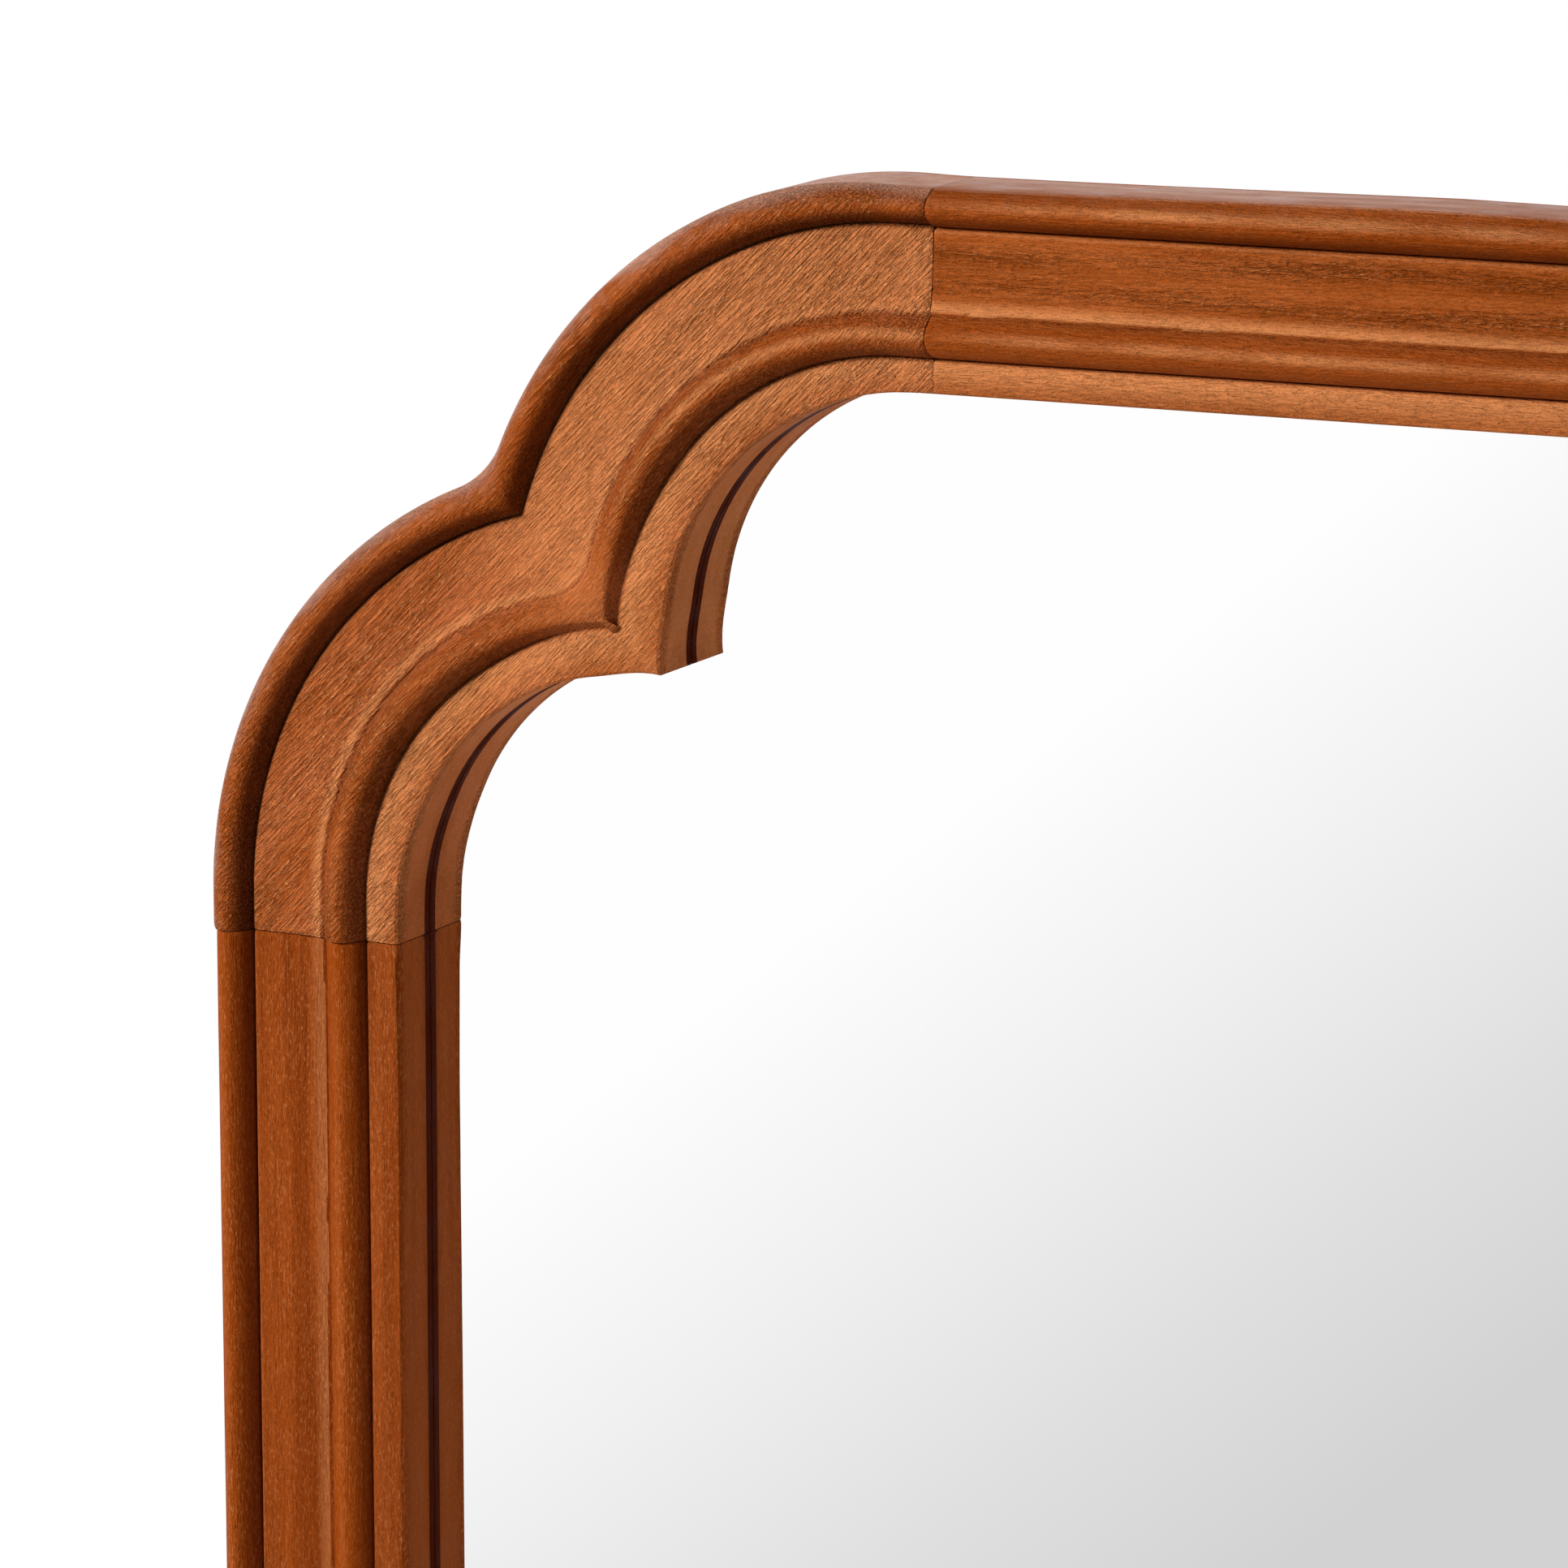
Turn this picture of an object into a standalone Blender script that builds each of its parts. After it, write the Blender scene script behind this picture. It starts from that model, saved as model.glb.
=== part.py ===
"""Wall mirror with scalloped corner blocks in a carved hardwood frame.

Metres, +Z up, +X to the viewer's right. The glass faces -Y and the wall is at +Y.
The origin is the middle of the overall box.
Depths are measured backwards from the plane of the sight edge, the frame's inner front edge.
"""
import math

import bmesh
import bpy
from mathutils import Vector

# Overall size of the frame
OVERALL_WIDTH = 0.762
OVERALL_HEIGHT = 1.016
FRAME_DEPTH = 0.030

# Widths across the moulding, from the outer edge to the sight edge
OUTER_BEAD_WIDTH = 0.0124
QUIRK_WIDTH = 0.0005
FIELD_WIDTH = 0.0243
LIP_STEP_WIDTH = 0.0009
INNER_BEAD_WIDTH = 0.0120
FILLET_WIDTH = 0.0094

# Heights and depths of the moulding
BEAD_RISE = 0.0054
BEAD_FOOT_DEPTH = 0.0022
QUIRK_DEPTH = 0.0032
FIELD_SCOOP = 0.0006
LIP_RISE = 0.0003
LIP_FOOT_DEPTH = 0.0016
ARRIS_EASE = 0.0008

# Corner block: two round lobes that meet in a notch on the diagonal
SIGHT_RADIUS = 0.0763
LOBE_SPREAD_SHARE = 1.13
BLOCK_STRAIGHT = 0.0116
NOTCH_SETBACK = 0.011

# Rabbets, glass and back
SHOULDER_DEPTH = 0.0175
GLASS_THICKNESS = 0.005
GLASS_LAP = 0.008
GLASS_PLAY = 0.0008
PACKING_THICKNESS = 0.001
BOARD_THICKNESS = 0.004
BOARD_LAP = 0.020
BOARD_PLAY = 0.0008

# Dowels, two in each joint
DOWEL_RADIUS = 0.005
DOWEL_LENGTH = 0.050
DOWEL_CHAMFER = 0.001
DOWEL_INSET = 0.015
DOWEL_DEPTH = 0.0115
DOWEL_END_ROOM = 0.001

# Screws of the backing board
RAIL_SCREWS = 2
STILE_SCREWS = 3
BACKING_SCREW_RADIUS = 0.0015
BACKING_SCREW_BITE = 0.008
BACKING_HEAD_RADIUS = 0.003
BACKING_HEAD_HEIGHT = 0.0014

# Strap hangers and their rings
WIRE_RADIUS = 0.00125
RING_INNER_WIDTH = 0.022
RING_SIDE = 0.00325
RING_CORNER = 0.0025
RING_REST_ROOM = 0.00045
STRAP_THICKNESS = 0.0016
STRAP_WIDTH = 0.014
STRAP_END = 0.007
BARREL_WALL = 0.0008
NECK_LENGTH = 0.0028
HANGER_BELOW_JOINT = 0.050
HANGER_SCREW_PITCH = 0.018
HANGER_SCREW_RADIUS = 0.00175
HANGER_SCREW_BITE = 0.012
HANGER_HEAD_RADIUS = 0.0035
HANGER_HEAD_HEIGHT = 0.0018
HEAD_MARGIN = 0.001

# Bumpers that keep the frame off the wall
BUMPER_THICKNESS = 0.007
BUMPER_RADIUS = 0.009
BUMPER_TOP_RADIUS = 0.0075
BUMPER_ANGLE_SHARE = 0.5

# Clearances and cuts
SEAT_GAP = 0.0003
SCREW_POINT = 0.001
CUT_OVERRUN = 0.005

# Fineness of the curves
BEAD_STEPS = 6
LOBE_STEPS = 10
ROUND_STEPS = 8
BARREL_STEPS = 12
RING_ARC_STEPS = 8
FIELD_SHARES = (0.35, 0.7)
CORNER_SHARES = (0.0, 0.5, 1.0)
MOULDING_SMOOTH_ANGLE = math.radians(35)
TURNED_SMOOTH_ANGLE = math.radians(50)

# Worked out from the sizes above
FACE_WIDTH = (OUTER_BEAD_WIDTH + QUIRK_WIDTH + FIELD_WIDTH + LIP_STEP_WIDTH
              + INNER_BEAD_WIDTH + QUIRK_WIDTH + FILLET_WIDTH)
LOBE_RADIUS = SIGHT_RADIUS + FACE_WIDTH
LOBE_SPREAD = SIGHT_RADIUS * LOBE_SPREAD_SHARE
LOBE_FAR = LOBE_RADIUS + LOBE_SPREAD
BLOCK_SIZE = LOBE_FAR + BLOCK_STRAIGHT
GLASS_DEPTH = SHOULDER_DEPTH + SEAT_GAP
PACKING_DEPTH = GLASS_DEPTH + GLASS_THICKNESS + SEAT_GAP
LEDGE_DEPTH = PACKING_DEPTH + PACKING_THICKNESS
BOARD_DEPTH = LEDGE_DEPTH + SEAT_GAP
BOARD_BACK_DEPTH = BOARD_DEPTH + BOARD_THICKNESS
BUMPER_DEPTH = FRAME_DEPTH + SEAT_GAP
WALL_DEPTH = BUMPER_DEPTH + BUMPER_THICKNESS
MIDDLE_DEPTH = (WALL_DEPTH - BEAD_RISE) / 2
BACK_WIDTH = FACE_WIDTH - BOARD_LAP
RING_HALF_WIDTH = RING_INNER_WIDTH / 2 + WIRE_RADIUS
RING_DROP = RING_SIDE + RING_HALF_WIDTH
HINGE_HEIGHT = SEAT_GAP + STRAP_THICKNESS + RING_REST_ROOM + WIRE_RADIUS
BARREL_BORE = WIRE_RADIUS + SEAT_GAP
BARREL_RADIUS = BARREL_BORE + BARREL_WALL
HINGE_DOWN = BLOCK_SIZE + HANGER_BELOW_JOINT
FIRST_SCREW_DROP = RING_DROP + WIRE_RADIUS + HEAD_MARGIN + HANGER_HEAD_RADIUS
HANGER_SCREW_DROPS = (FIRST_SCREW_DROP, FIRST_SCREW_DROP + HANGER_SCREW_PITCH)
STRAP_LENGTH = HANGER_SCREW_DROPS[-1] + STRAP_END

SIDES = {"left": -1, "right": 1}
ENDS = {"top": 1, "bottom": -1}

# Colours, roughness and metallic value of each material
FINISHES = {
    "hardwood": ((0.38, 0.10, 0.025), 0.45, 0.0),
    "dowel_wood": ((0.55, 0.33, 0.16), 0.7, 0.0),
    "mirror": ((0.92, 0.94, 0.94), 0.02, 1.0),
    "foam": ((0.78, 0.78, 0.76), 0.9, 0.0),
    "hardboard": ((0.22, 0.12, 0.06), 0.8, 0.0),
    "steel": ((0.62, 0.62, 0.60), 0.35, 1.0),
    "brass": ((0.70, 0.52, 0.22), 0.35, 1.0),
    "rubber": ((0.05, 0.05, 0.05), 0.85, 0.0),
}


def clear_scene():
    """Remove every object and its data."""
    for item in list(bpy.data.objects):
        bpy.data.objects.remove(item, do_unlink=True)


def make_material(node, finish):
    """Give a node a Principled material of its own."""
    color, roughness, metallic = FINISHES[finish]
    material = bpy.data.materials.new(node + "_" + finish)
    material.use_nodes = True
    shader = material.node_tree.nodes["Principled BSDF"]
    shader.inputs["Base Color"].default_value = (*color, 1.0)
    shader.inputs["Roughness"].default_value = roughness
    shader.inputs["Metallic"].default_value = metallic
    return material


def link_object(name, data, finish):
    """Put mesh or curve data in the scene as a named object, with its material."""
    item = bpy.data.objects.new(name, data)
    bpy.context.scene.collection.objects.link(item)
    if finish:
        data.materials.append(make_material(name, finish))
    return item


def add_loft(bm, rings):
    """Add a closed solid through rings that have the same number of points."""
    loops = [[bm.verts.new(point) for point in ring] for ring in rings]
    faces = [bm.faces.new(loops[0]), bm.faces.new(loops[-1])]
    count = len(loops[0])
    for near, far in zip(loops, loops[1:]):
        for index in range(count):
            after = (index + 1) % count
            faces.append(bm.faces.new((near[index], near[after], far[after], far[index])))
    return faces


def loft_mesh(name, solids):
    """Make one mesh of one or more lofted solids, with their faces pointing out."""
    bm = bmesh.new()
    for rings in solids:
        add_loft(bm, rings)
    bmesh.ops.recalc_face_normals(bm, faces=bm.faces)
    mesh = bpy.data.meshes.new(name)
    bm.to_mesh(mesh)
    bm.free()
    return mesh


def add_solid(name, finish, rings, smooth_angle=None):
    """Add a node lofted through its rings, flat shaded unless it has a smooth angle."""
    mesh = loft_mesh(name, [rings])
    item = link_object(name, mesh, finish)
    if smooth_angle:
        mesh.shade_smooth()
        mesh.set_sharp_from_angle(angle=smooth_angle)
    return item


def add_cutter(name, solids):
    """Add a cutter, which shows as wire and isn't a node."""
    item = link_object(name, loft_mesh(name, solids), None)
    item.hide_render = True
    item.display_type = "WIRE"
    return item


def cut(item, *cutters):
    """Cut an object with each cutter in turn."""
    for cutter in cutters:
        modifier = item.modifiers.new(cutter.name, "BOOLEAN")
        modifier.operation = "DIFFERENCE"
        modifier.solver = "EXACT"
        modifier.object = cutter


def from_corner(side, end, inward, down, depth):
    """A point given by its distances from the frame's two outer edges, and its depth."""
    return Vector((side * (OVERALL_WIDTH / 2 - inward),
                   depth - MIDDLE_DEPTH,
                   end * (OVERALL_HEIGHT / 2 - down)))


def circle(centre, first_axis, second_axis, radius, steps=ROUND_STEPS):
    """Points of a circle in the plane of two unit axes."""
    points = []
    for index in range(steps):
        angle = math.tau * index / steps
        along_first = first_axis * (radius * math.cos(angle))
        along_second = second_axis * (radius * math.sin(angle))
        points.append(centre + along_first + along_second)
    return points


def turned_back_to_front(centre, profile):
    """Rings of a turned piece on a line along Y, from (radius, backward distance) pairs."""
    across = Vector((1, 0, 0))
    upward = Vector((0, 0, 1))
    backward = Vector((0, 1, 0))
    return [circle(centre + backward * distance, across, upward, radius) for radius, distance in profile]


# The moulding
def bead(start, width, setbacks):
    """Half an ellipse that stands on the bead foot; setbacks are those at its two edges."""
    points = []
    height = BEAD_RISE + BEAD_FOOT_DEPTH
    for index in range(BEAD_STEPS + 1):
        angle = math.pi * index / BEAD_STEPS
        share = (1 - math.cos(angle)) / 2
        offset = start + width * share
        depth = BEAD_FOOT_DEPTH - height * math.sin(angle)
        setback = setbacks[0] + (setbacks[1] - setbacks[0]) * share
        points.append((offset, depth, setback))
    return points


def moulding():
    """The front outline as (offset from the outer edge, depth, setback of the rounded notch)."""
    points = bead(0.0, OUTER_BEAD_WIDTH, (NOTCH_SETBACK, 0.0))
    quirk_end = OUTER_BEAD_WIDTH + QUIRK_WIDTH
    points.append((OUTER_BEAD_WIDTH + QUIRK_WIDTH / 2, QUIRK_DEPTH, 0.0))
    points.append((quirk_end, BEAD_FOOT_DEPTH, 0.0))
    for share in FIELD_SHARES:
        rise = (BEAD_FOOT_DEPTH + LIP_RISE) * share
        depth = BEAD_FOOT_DEPTH - rise + FIELD_SCOOP * math.sin(math.pi * share)
        points.append((quirk_end + FIELD_WIDTH * share, depth, NOTCH_SETBACK * share))
    lip = quirk_end + FIELD_WIDTH
    points.append((lip, -LIP_RISE, NOTCH_SETBACK))
    points.append((lip + LIP_STEP_WIDTH / 2, LIP_FOOT_DEPTH, NOTCH_SETBACK))
    inner_start = lip + LIP_STEP_WIDTH
    points += bead(inner_start, INNER_BEAD_WIDTH, (NOTCH_SETBACK, 0.0))
    inner_end = inner_start + INNER_BEAD_WIDTH
    points.append((inner_end + QUIRK_WIDTH / 2, QUIRK_DEPTH, 0.0))
    points.append((inner_end + QUIRK_WIDTH, BEAD_FOOT_DEPTH, 0.0))
    points.append((FACE_WIDTH - ARRIS_EASE, 0.0, 0.0))
    points.append((FACE_WIDTH, ARRIS_EASE, 0.0))
    return points


def bar_profile():
    """Outline of a rail or stile, with its rabbets."""
    outline = [(offset, depth) for offset, depth, _ in moulding()]
    outline += [
        (FACE_WIDTH, SHOULDER_DEPTH),
        (FACE_WIDTH - GLASS_LAP, SHOULDER_DEPTH),
        (FACE_WIDTH - GLASS_LAP, LEDGE_DEPTH),
        (BACK_WIDTH, LEDGE_DEPTH),
        (BACK_WIDTH, FRAME_DEPTH),
        (0.0, FRAME_DEPTH),
    ]
    return outline


# The corner block
def notch_place(radius):
    """Where the two circles of this radius meet on the diagonal."""
    middle = (LOBE_RADIUS + LOBE_FAR) / 2
    return middle - math.sqrt(radius ** 2 / 2 - (LOBE_SPREAD / 2) ** 2)


def notch_angle(offset):
    """The angle that a lobe turns through, from the straight stile to the diagonal."""
    place = notch_place(LOBE_RADIUS - offset)
    return math.atan2(LOBE_FAR - place, LOBE_RADIUS - place)


def lobe_point(offset, setback, share):
    """Distances inward and down of a point on the stile's lobe, at a share of its turn."""
    radius = LOBE_RADIUS - offset
    turn = notch_angle(offset)
    angle = turn * share
    inward = LOBE_RADIUS - radius * math.cos(angle)
    down = LOBE_FAR - radius * math.sin(angle)
    bend = math.asin((math.sin(turn) - math.cos(turn)) / math.sqrt(2))
    across = (down - inward) / math.sqrt(2)
    if setback and across < setback * math.cos(bend):
        curve = setback / math.sin(bend) - math.sqrt((setback / math.tan(bend)) ** 2 - across ** 2)
        shift = (curve - across * math.tan(bend)) / math.sqrt(2)
        inward -= shift
        down -= shift
    return inward, down


def block_rings(side, end):
    """Rings of a corner block, from its stile joint round both lobes to its rail joint."""
    outline = moulding() + [(FACE_WIDTH, FRAME_DEPTH, 0.0), (0.0, FRAME_DEPTH, NOTCH_SETBACK)]
    shares = [index / LOBE_STEPS for index in range(LOBE_STEPS + 1)]
    rings = [[from_corner(side, end, offset, BLOCK_SIZE, depth) for offset, depth, _ in outline]]
    for share in shares:
        ring = []
        for offset, depth, setback in outline:
            inward, down = lobe_point(offset, setback, share)
            ring.append(from_corner(side, end, inward, down, depth))
        rings.append(ring)
    for share in reversed(shares[:-1]):
        ring = []
        for offset, depth, setback in outline:
            inward, down = lobe_point(offset, setback, share)
            ring.append(from_corner(side, end, down, inward, depth))
        rings.append(ring)
    rings.append([from_corner(side, end, BLOCK_SIZE, offset, depth) for offset, depth, _ in outline])
    return rings


# Plates with clipped corners, and the rabbets that hold them
def clip_reach(lap):
    """Inward plus down distance of the diagonal edge that laps the lobes by this much."""
    return LOBE_RADIUS + LOBE_FAR - math.sqrt(2) * (SIGHT_RADIUS + lap)


def clipped_outline(lap, depth):
    """An oblong with clipped corners that reaches behind the frame by this lap."""
    edge = FACE_WIDTH - lap
    clip = clip_reach(lap) - edge
    return [
        from_corner(-1, 1, edge, clip, depth),
        from_corner(-1, 1, clip, edge, depth),
        from_corner(1, 1, clip, edge, depth),
        from_corner(1, 1, edge, clip, depth),
        from_corner(1, -1, edge, clip, depth),
        from_corner(1, -1, clip, edge, depth),
        from_corner(-1, -1, clip, edge, depth),
        from_corner(-1, -1, edge, clip, depth),
    ]


def clipped_plate(lap, depth, thickness):
    """Rings of a flat plate with clipped corners."""
    return [clipped_outline(lap, depth), clipped_outline(lap, depth + thickness)]


def rabbet_steps():
    """Rings of the stepped hollow behind the corner blocks."""
    return [
        clipped_outline(GLASS_LAP, SHOULDER_DEPTH),
        clipped_outline(GLASS_LAP, LEDGE_DEPTH),
        clipped_outline(BOARD_LAP, LEDGE_DEPTH),
        clipped_outline(BOARD_LAP, FRAME_DEPTH + CUT_OVERRUN),
    ]


# Dowels
def joint_dowels(side, end, along_rail, radius, length, chamfer):
    """The two dowels of a joint, or their bores when given the bore's size."""
    solids = []
    for offset in (DOWEL_INSET, FACE_WIDTH - DOWEL_INSET):
        middle = BLOCK_SIZE + SEAT_GAP / 2
        near = middle - length / 2
        far = middle + length / 2
        stations = [(near, radius - chamfer), (far, radius - chamfer)]
        if chamfer:
            stations[1:1] = [(near + chamfer, radius), (far - chamfer, radius)]
        rings = []
        for along, ring_radius in stations:
            if along_rail:
                centre = from_corner(side, end, along, offset, DOWEL_DEPTH)
                axes = (Vector((0, 1, 0)), Vector((0, 0, 1)))
            else:
                centre = from_corner(side, end, offset, along, DOWEL_DEPTH)
                axes = (Vector((1, 0, 0)), Vector((0, 1, 0)))
            rings.append(circle(centre, *axes, ring_radius))
        solids.append(rings)
    return solids


# Screws
def backing_screw_places():
    """Middle of the ledge, along each rail and stile and once in each corner."""
    ledge = FACE_WIDTH - (GLASS_LAP + BOARD_LAP) / 2
    places = []
    for end in ENDS.values():
        length = OVERALL_WIDTH - 2 * BLOCK_SIZE
        for index in range(RAIL_SCREWS):
            along = BLOCK_SIZE + length * (index + 1 / 2) / RAIL_SCREWS
            places.append(from_corner(-1, end, along, ledge, BOARD_BACK_DEPTH))
    for side in SIDES.values():
        length = OVERALL_HEIGHT - 2 * BLOCK_SIZE
        for index in range(STILE_SCREWS):
            along = BLOCK_SIZE + length * (index + 1 / 2) / STILE_SCREWS
            places.append(from_corner(side, 1, ledge, along, BOARD_BACK_DEPTH))
    diagonal = (clip_reach(GLASS_LAP) + clip_reach(BOARD_LAP)) / 4
    for side in SIDES.values():
        for end in ENDS.values():
            places.append(from_corner(side, end, diagonal, diagonal, BOARD_BACK_DEPTH))
    return places


def hanger_screw_places():
    """Middle of the strap's outer face at each screw."""
    places = []
    depth = FRAME_DEPTH + SEAT_GAP + STRAP_THICKNESS
    for side in SIDES.values():
        for drop in HANGER_SCREW_DROPS:
            places.append(from_corner(side, 1, BACK_WIDTH / 2, HINGE_DOWN + drop, depth))
    return places


def screw(seat, shank_radius, shank_length, head_radius, head_height):
    """Rings of a pan head screw whose head sits on a face just behind the seat point."""
    profile = (
        (shank_radius / 2, -shank_length),
        (shank_radius, -shank_length + SCREW_POINT),
        (shank_radius, SEAT_GAP),
        (head_radius, SEAT_GAP),
        (head_radius, SEAT_GAP + head_height / 2),
        (head_radius / 2, SEAT_GAP + head_height),
    )
    return turned_back_to_front(seat, profile)


def screw_hole(seat, shank_radius, shank_length):
    """Rings of the hole that a screw goes into, through what it holds."""
    radius = shank_radius + SEAT_GAP
    return turned_back_to_front(seat, ((radius, -shank_length - SEAT_GAP), (radius, CUT_OVERRUN)))


# Strap hangers
def hinge_centre(side):
    """Middle of a hanging ring's hinge line."""
    return from_corner(side, 1, BACK_WIDTH / 2, HINGE_DOWN, FRAME_DEPTH + HINGE_HEIGHT)


def strap_outline(side, across):
    """Side outline of a strap that ends in a rolled barrel."""
    centre = hinge_centre(side)
    under = SEAT_GAP - HINGE_HEIGHT
    over = under + STRAP_THICKNESS
    start = math.pi / 2
    finish = math.tau + math.asin(-over / BARREL_RADIUS)
    pairs = [(STRAP_LENGTH, under), (NECK_LENGTH, under)]
    for index in range(BARREL_STEPS + 1):
        angle = start + (finish - start) * index / BARREL_STEPS
        pairs.append((BARREL_RADIUS * math.cos(angle), -BARREL_RADIUS * math.sin(angle)))
    pairs.append((STRAP_LENGTH, over))
    return [centre + Vector((across, height, -drop)) for drop, height in pairs]


def barrel_bore(side):
    """Rings of the hole along a strap's barrel."""
    reach = STRAP_WIDTH / 2 + CUT_OVERRUN
    axes = (Vector((0, 1, 0)), Vector((0, 0, 1)))
    return [circle(hinge_centre(side) + Vector((across, 0, 0)), *axes, BARREL_BORE, BARREL_STEPS)
            for across in (-reach, reach)]


def ring_path():
    """Points of a hanging ring as (across, drop) pairs: a straight bar, two sides and a round end."""
    right_corner = []
    for share in CORNER_SHARES:
        angle = math.pi / 2 * share
        across = RING_HALF_WIDTH - RING_CORNER * (1 - math.sin(angle))
        right_corner.append((across, RING_CORNER * (1 - math.cos(angle))))
    round_end = []
    for index in range(RING_ARC_STEPS + 1):
        angle = math.pi * index / RING_ARC_STEPS
        drop = RING_SIDE + RING_HALF_WIDTH * math.sin(angle)
        round_end.append((RING_HALF_WIDTH * math.cos(angle), drop))
    left_corner = [(-across, drop) for across, drop in reversed(right_corner)]
    return right_corner + round_end + left_corner


def add_ring(name, side):
    """A bent wire ring whose origin is on its hinge line."""
    data = bpy.data.curves.new(name, "CURVE")
    data.dimensions = "3D"
    data.bevel_depth = WIRE_RADIUS
    data.bevel_resolution = 2
    spline = data.splines.new("POLY")
    path = ring_path()
    spline.points.add(len(path) - 1)
    for point, (across, drop) in zip(spline.points, path):
        point.co = (across, 0.0, -drop, 1.0)
    spline.use_cyclic_u = True
    spline.use_smooth = True
    item = link_object(name, data, "steel")
    item.location = hinge_centre(side)
    return item


def bumper_rings(side):
    """A tapered disc on the back of a lower corner block."""
    offset = BACK_WIDTH / 2
    inward, down = lobe_point(offset, 0.0, BUMPER_ANGLE_SHARE)
    seat = from_corner(side, ENDS["bottom"], inward, down, BUMPER_DEPTH)
    profile = (
        (BUMPER_RADIUS, 0.0),
        (BUMPER_RADIUS, BUMPER_THICKNESS / 2),
        (BUMPER_TOP_RADIUS, BUMPER_THICKNESS),
    )
    return turned_back_to_front(seat, profile)


# Building
def build_cutters():
    """All the cutters, by name."""
    bore_radius = DOWEL_RADIUS + SEAT_GAP
    bore_length = DOWEL_LENGTH + 2 * DOWEL_END_ROOM
    bores = []
    for side in SIDES.values():
        for end in ENDS.values():
            for along_rail in (True, False):
                bores += joint_dowels(side, end, along_rail, bore_radius, bore_length, 0.0)
    backing = [screw_hole(place, BACKING_SCREW_RADIUS, BOARD_THICKNESS + SEAT_GAP + BACKING_SCREW_BITE)
               for place in backing_screw_places()]
    hanger = [screw_hole(place, HANGER_SCREW_RADIUS, STRAP_THICKNESS + SEAT_GAP + HANGER_SCREW_BITE)
              for place in hanger_screw_places()]
    return {
        "rabbet": add_cutter("rabbet_cutter", [rabbet_steps()]),
        "bores": add_cutter("dowel_bore_cutter", bores),
        "backing": add_cutter("backing_hole_cutter", backing),
        "hanger": add_cutter("hanger_hole_cutter", hanger),
        "barrel": add_cutter("barrel_cutter", [barrel_bore(side) for side in SIDES.values()]),
    }


def build_frame(cutters):
    """Corner blocks, rails, stiles and the dowels between them."""
    for end_name, end in ENDS.items():
        for side_name, side in SIDES.items():
            name = "corner_block_" + end_name + "_" + side_name
            block = add_solid(name, "hardwood", block_rings(side, end), MOULDING_SMOOTH_ANGLE)
            cut(block, cutters["rabbet"], cutters["bores"], cutters["backing"])
    start = BLOCK_SIZE + SEAT_GAP
    for end_name, end in ENDS.items():
        rings = [[from_corner(side, end, start, offset, depth) for offset, depth in bar_profile()]
                 for side in SIDES.values()]
        rail = add_solid(end_name + "_rail", "hardwood", rings, MOULDING_SMOOTH_ANGLE)
        cut(rail, cutters["bores"], cutters["backing"])
    for side_name, side in SIDES.items():
        rings = [[from_corner(side, end, offset, start, depth) for offset, depth in bar_profile()]
                 for end in ENDS.values()]
        stile = add_solid(side_name + "_stile", "hardwood", rings, MOULDING_SMOOTH_ANGLE)
        cut(stile, cutters["bores"], cutters["backing"], cutters["hanger"])
    for end_name, end in ENDS.items():
        for side_name, side in SIDES.items():
            for bar, along_rail in (("rail", True), ("stile", False)):
                pair = joint_dowels(side, end, along_rail, DOWEL_RADIUS, DOWEL_LENGTH, DOWEL_CHAMFER)
                for place, rings in zip(("outer", "inner"), pair):
                    name = "_".join((end_name, side_name, bar, "dowel", place))
                    add_solid(name, "dowel_wood", rings, TURNED_SMOOTH_ANGLE)


def build_glass_and_back(cutters):
    """Mirror glass, packing sheet, backing board and its screws."""
    glass_lap = GLASS_LAP - GLASS_PLAY
    add_solid("mirror_glass", "mirror", clipped_plate(glass_lap, GLASS_DEPTH, GLASS_THICKNESS))
    add_solid("packing_sheet", "foam", clipped_plate(glass_lap, PACKING_DEPTH, PACKING_THICKNESS))
    board_rings = clipped_plate(BOARD_LAP - BOARD_PLAY, BOARD_DEPTH, BOARD_THICKNESS)
    board = add_solid("backing_board", "hardboard", board_rings)
    cut(board, cutters["backing"])
    shank = BOARD_THICKNESS + SEAT_GAP + BACKING_SCREW_BITE
    for index, place in enumerate(backing_screw_places(), 1):
        rings = screw(place, BACKING_SCREW_RADIUS, shank, BACKING_HEAD_RADIUS, BACKING_HEAD_HEIGHT)
        add_solid("backing_screw_" + str(index), "brass", rings, TURNED_SMOOTH_ANGLE)


def build_hangers(cutters):
    """Straps, rings and their screws on the backs of the stiles."""
    half = STRAP_WIDTH / 2
    for side_name, side in SIDES.items():
        rings = [strap_outline(side, across) for across in (-half, half)]
        strap = add_solid(side_name + "_hanger_strap", "steel", rings, MOULDING_SMOOTH_ANGLE)
        cut(strap, cutters["barrel"], cutters["hanger"])
        add_ring(side_name + "_hanging_ring", side)
    shank = STRAP_THICKNESS + SEAT_GAP + HANGER_SCREW_BITE
    for index, place in enumerate(hanger_screw_places(), 1):
        rings = screw(place, HANGER_SCREW_RADIUS, shank, HANGER_HEAD_RADIUS, HANGER_HEAD_HEIGHT)
        add_solid("hanger_screw_" + str(index), "steel", rings, TURNED_SMOOTH_ANGLE)


def build_bumpers():
    """Rubber bumpers on the two lower corner blocks."""
    for side_name, side in SIDES.items():
        add_solid(side_name + "_wall_bumper", "rubber", bumper_rings(side), TURNED_SMOOTH_ANGLE)


def main():
    clear_scene()
    cutters = build_cutters()
    build_frame(cutters)
    build_glass_and_back(cutters)
    build_hangers(cutters)
    build_bumpers()


main()
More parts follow.
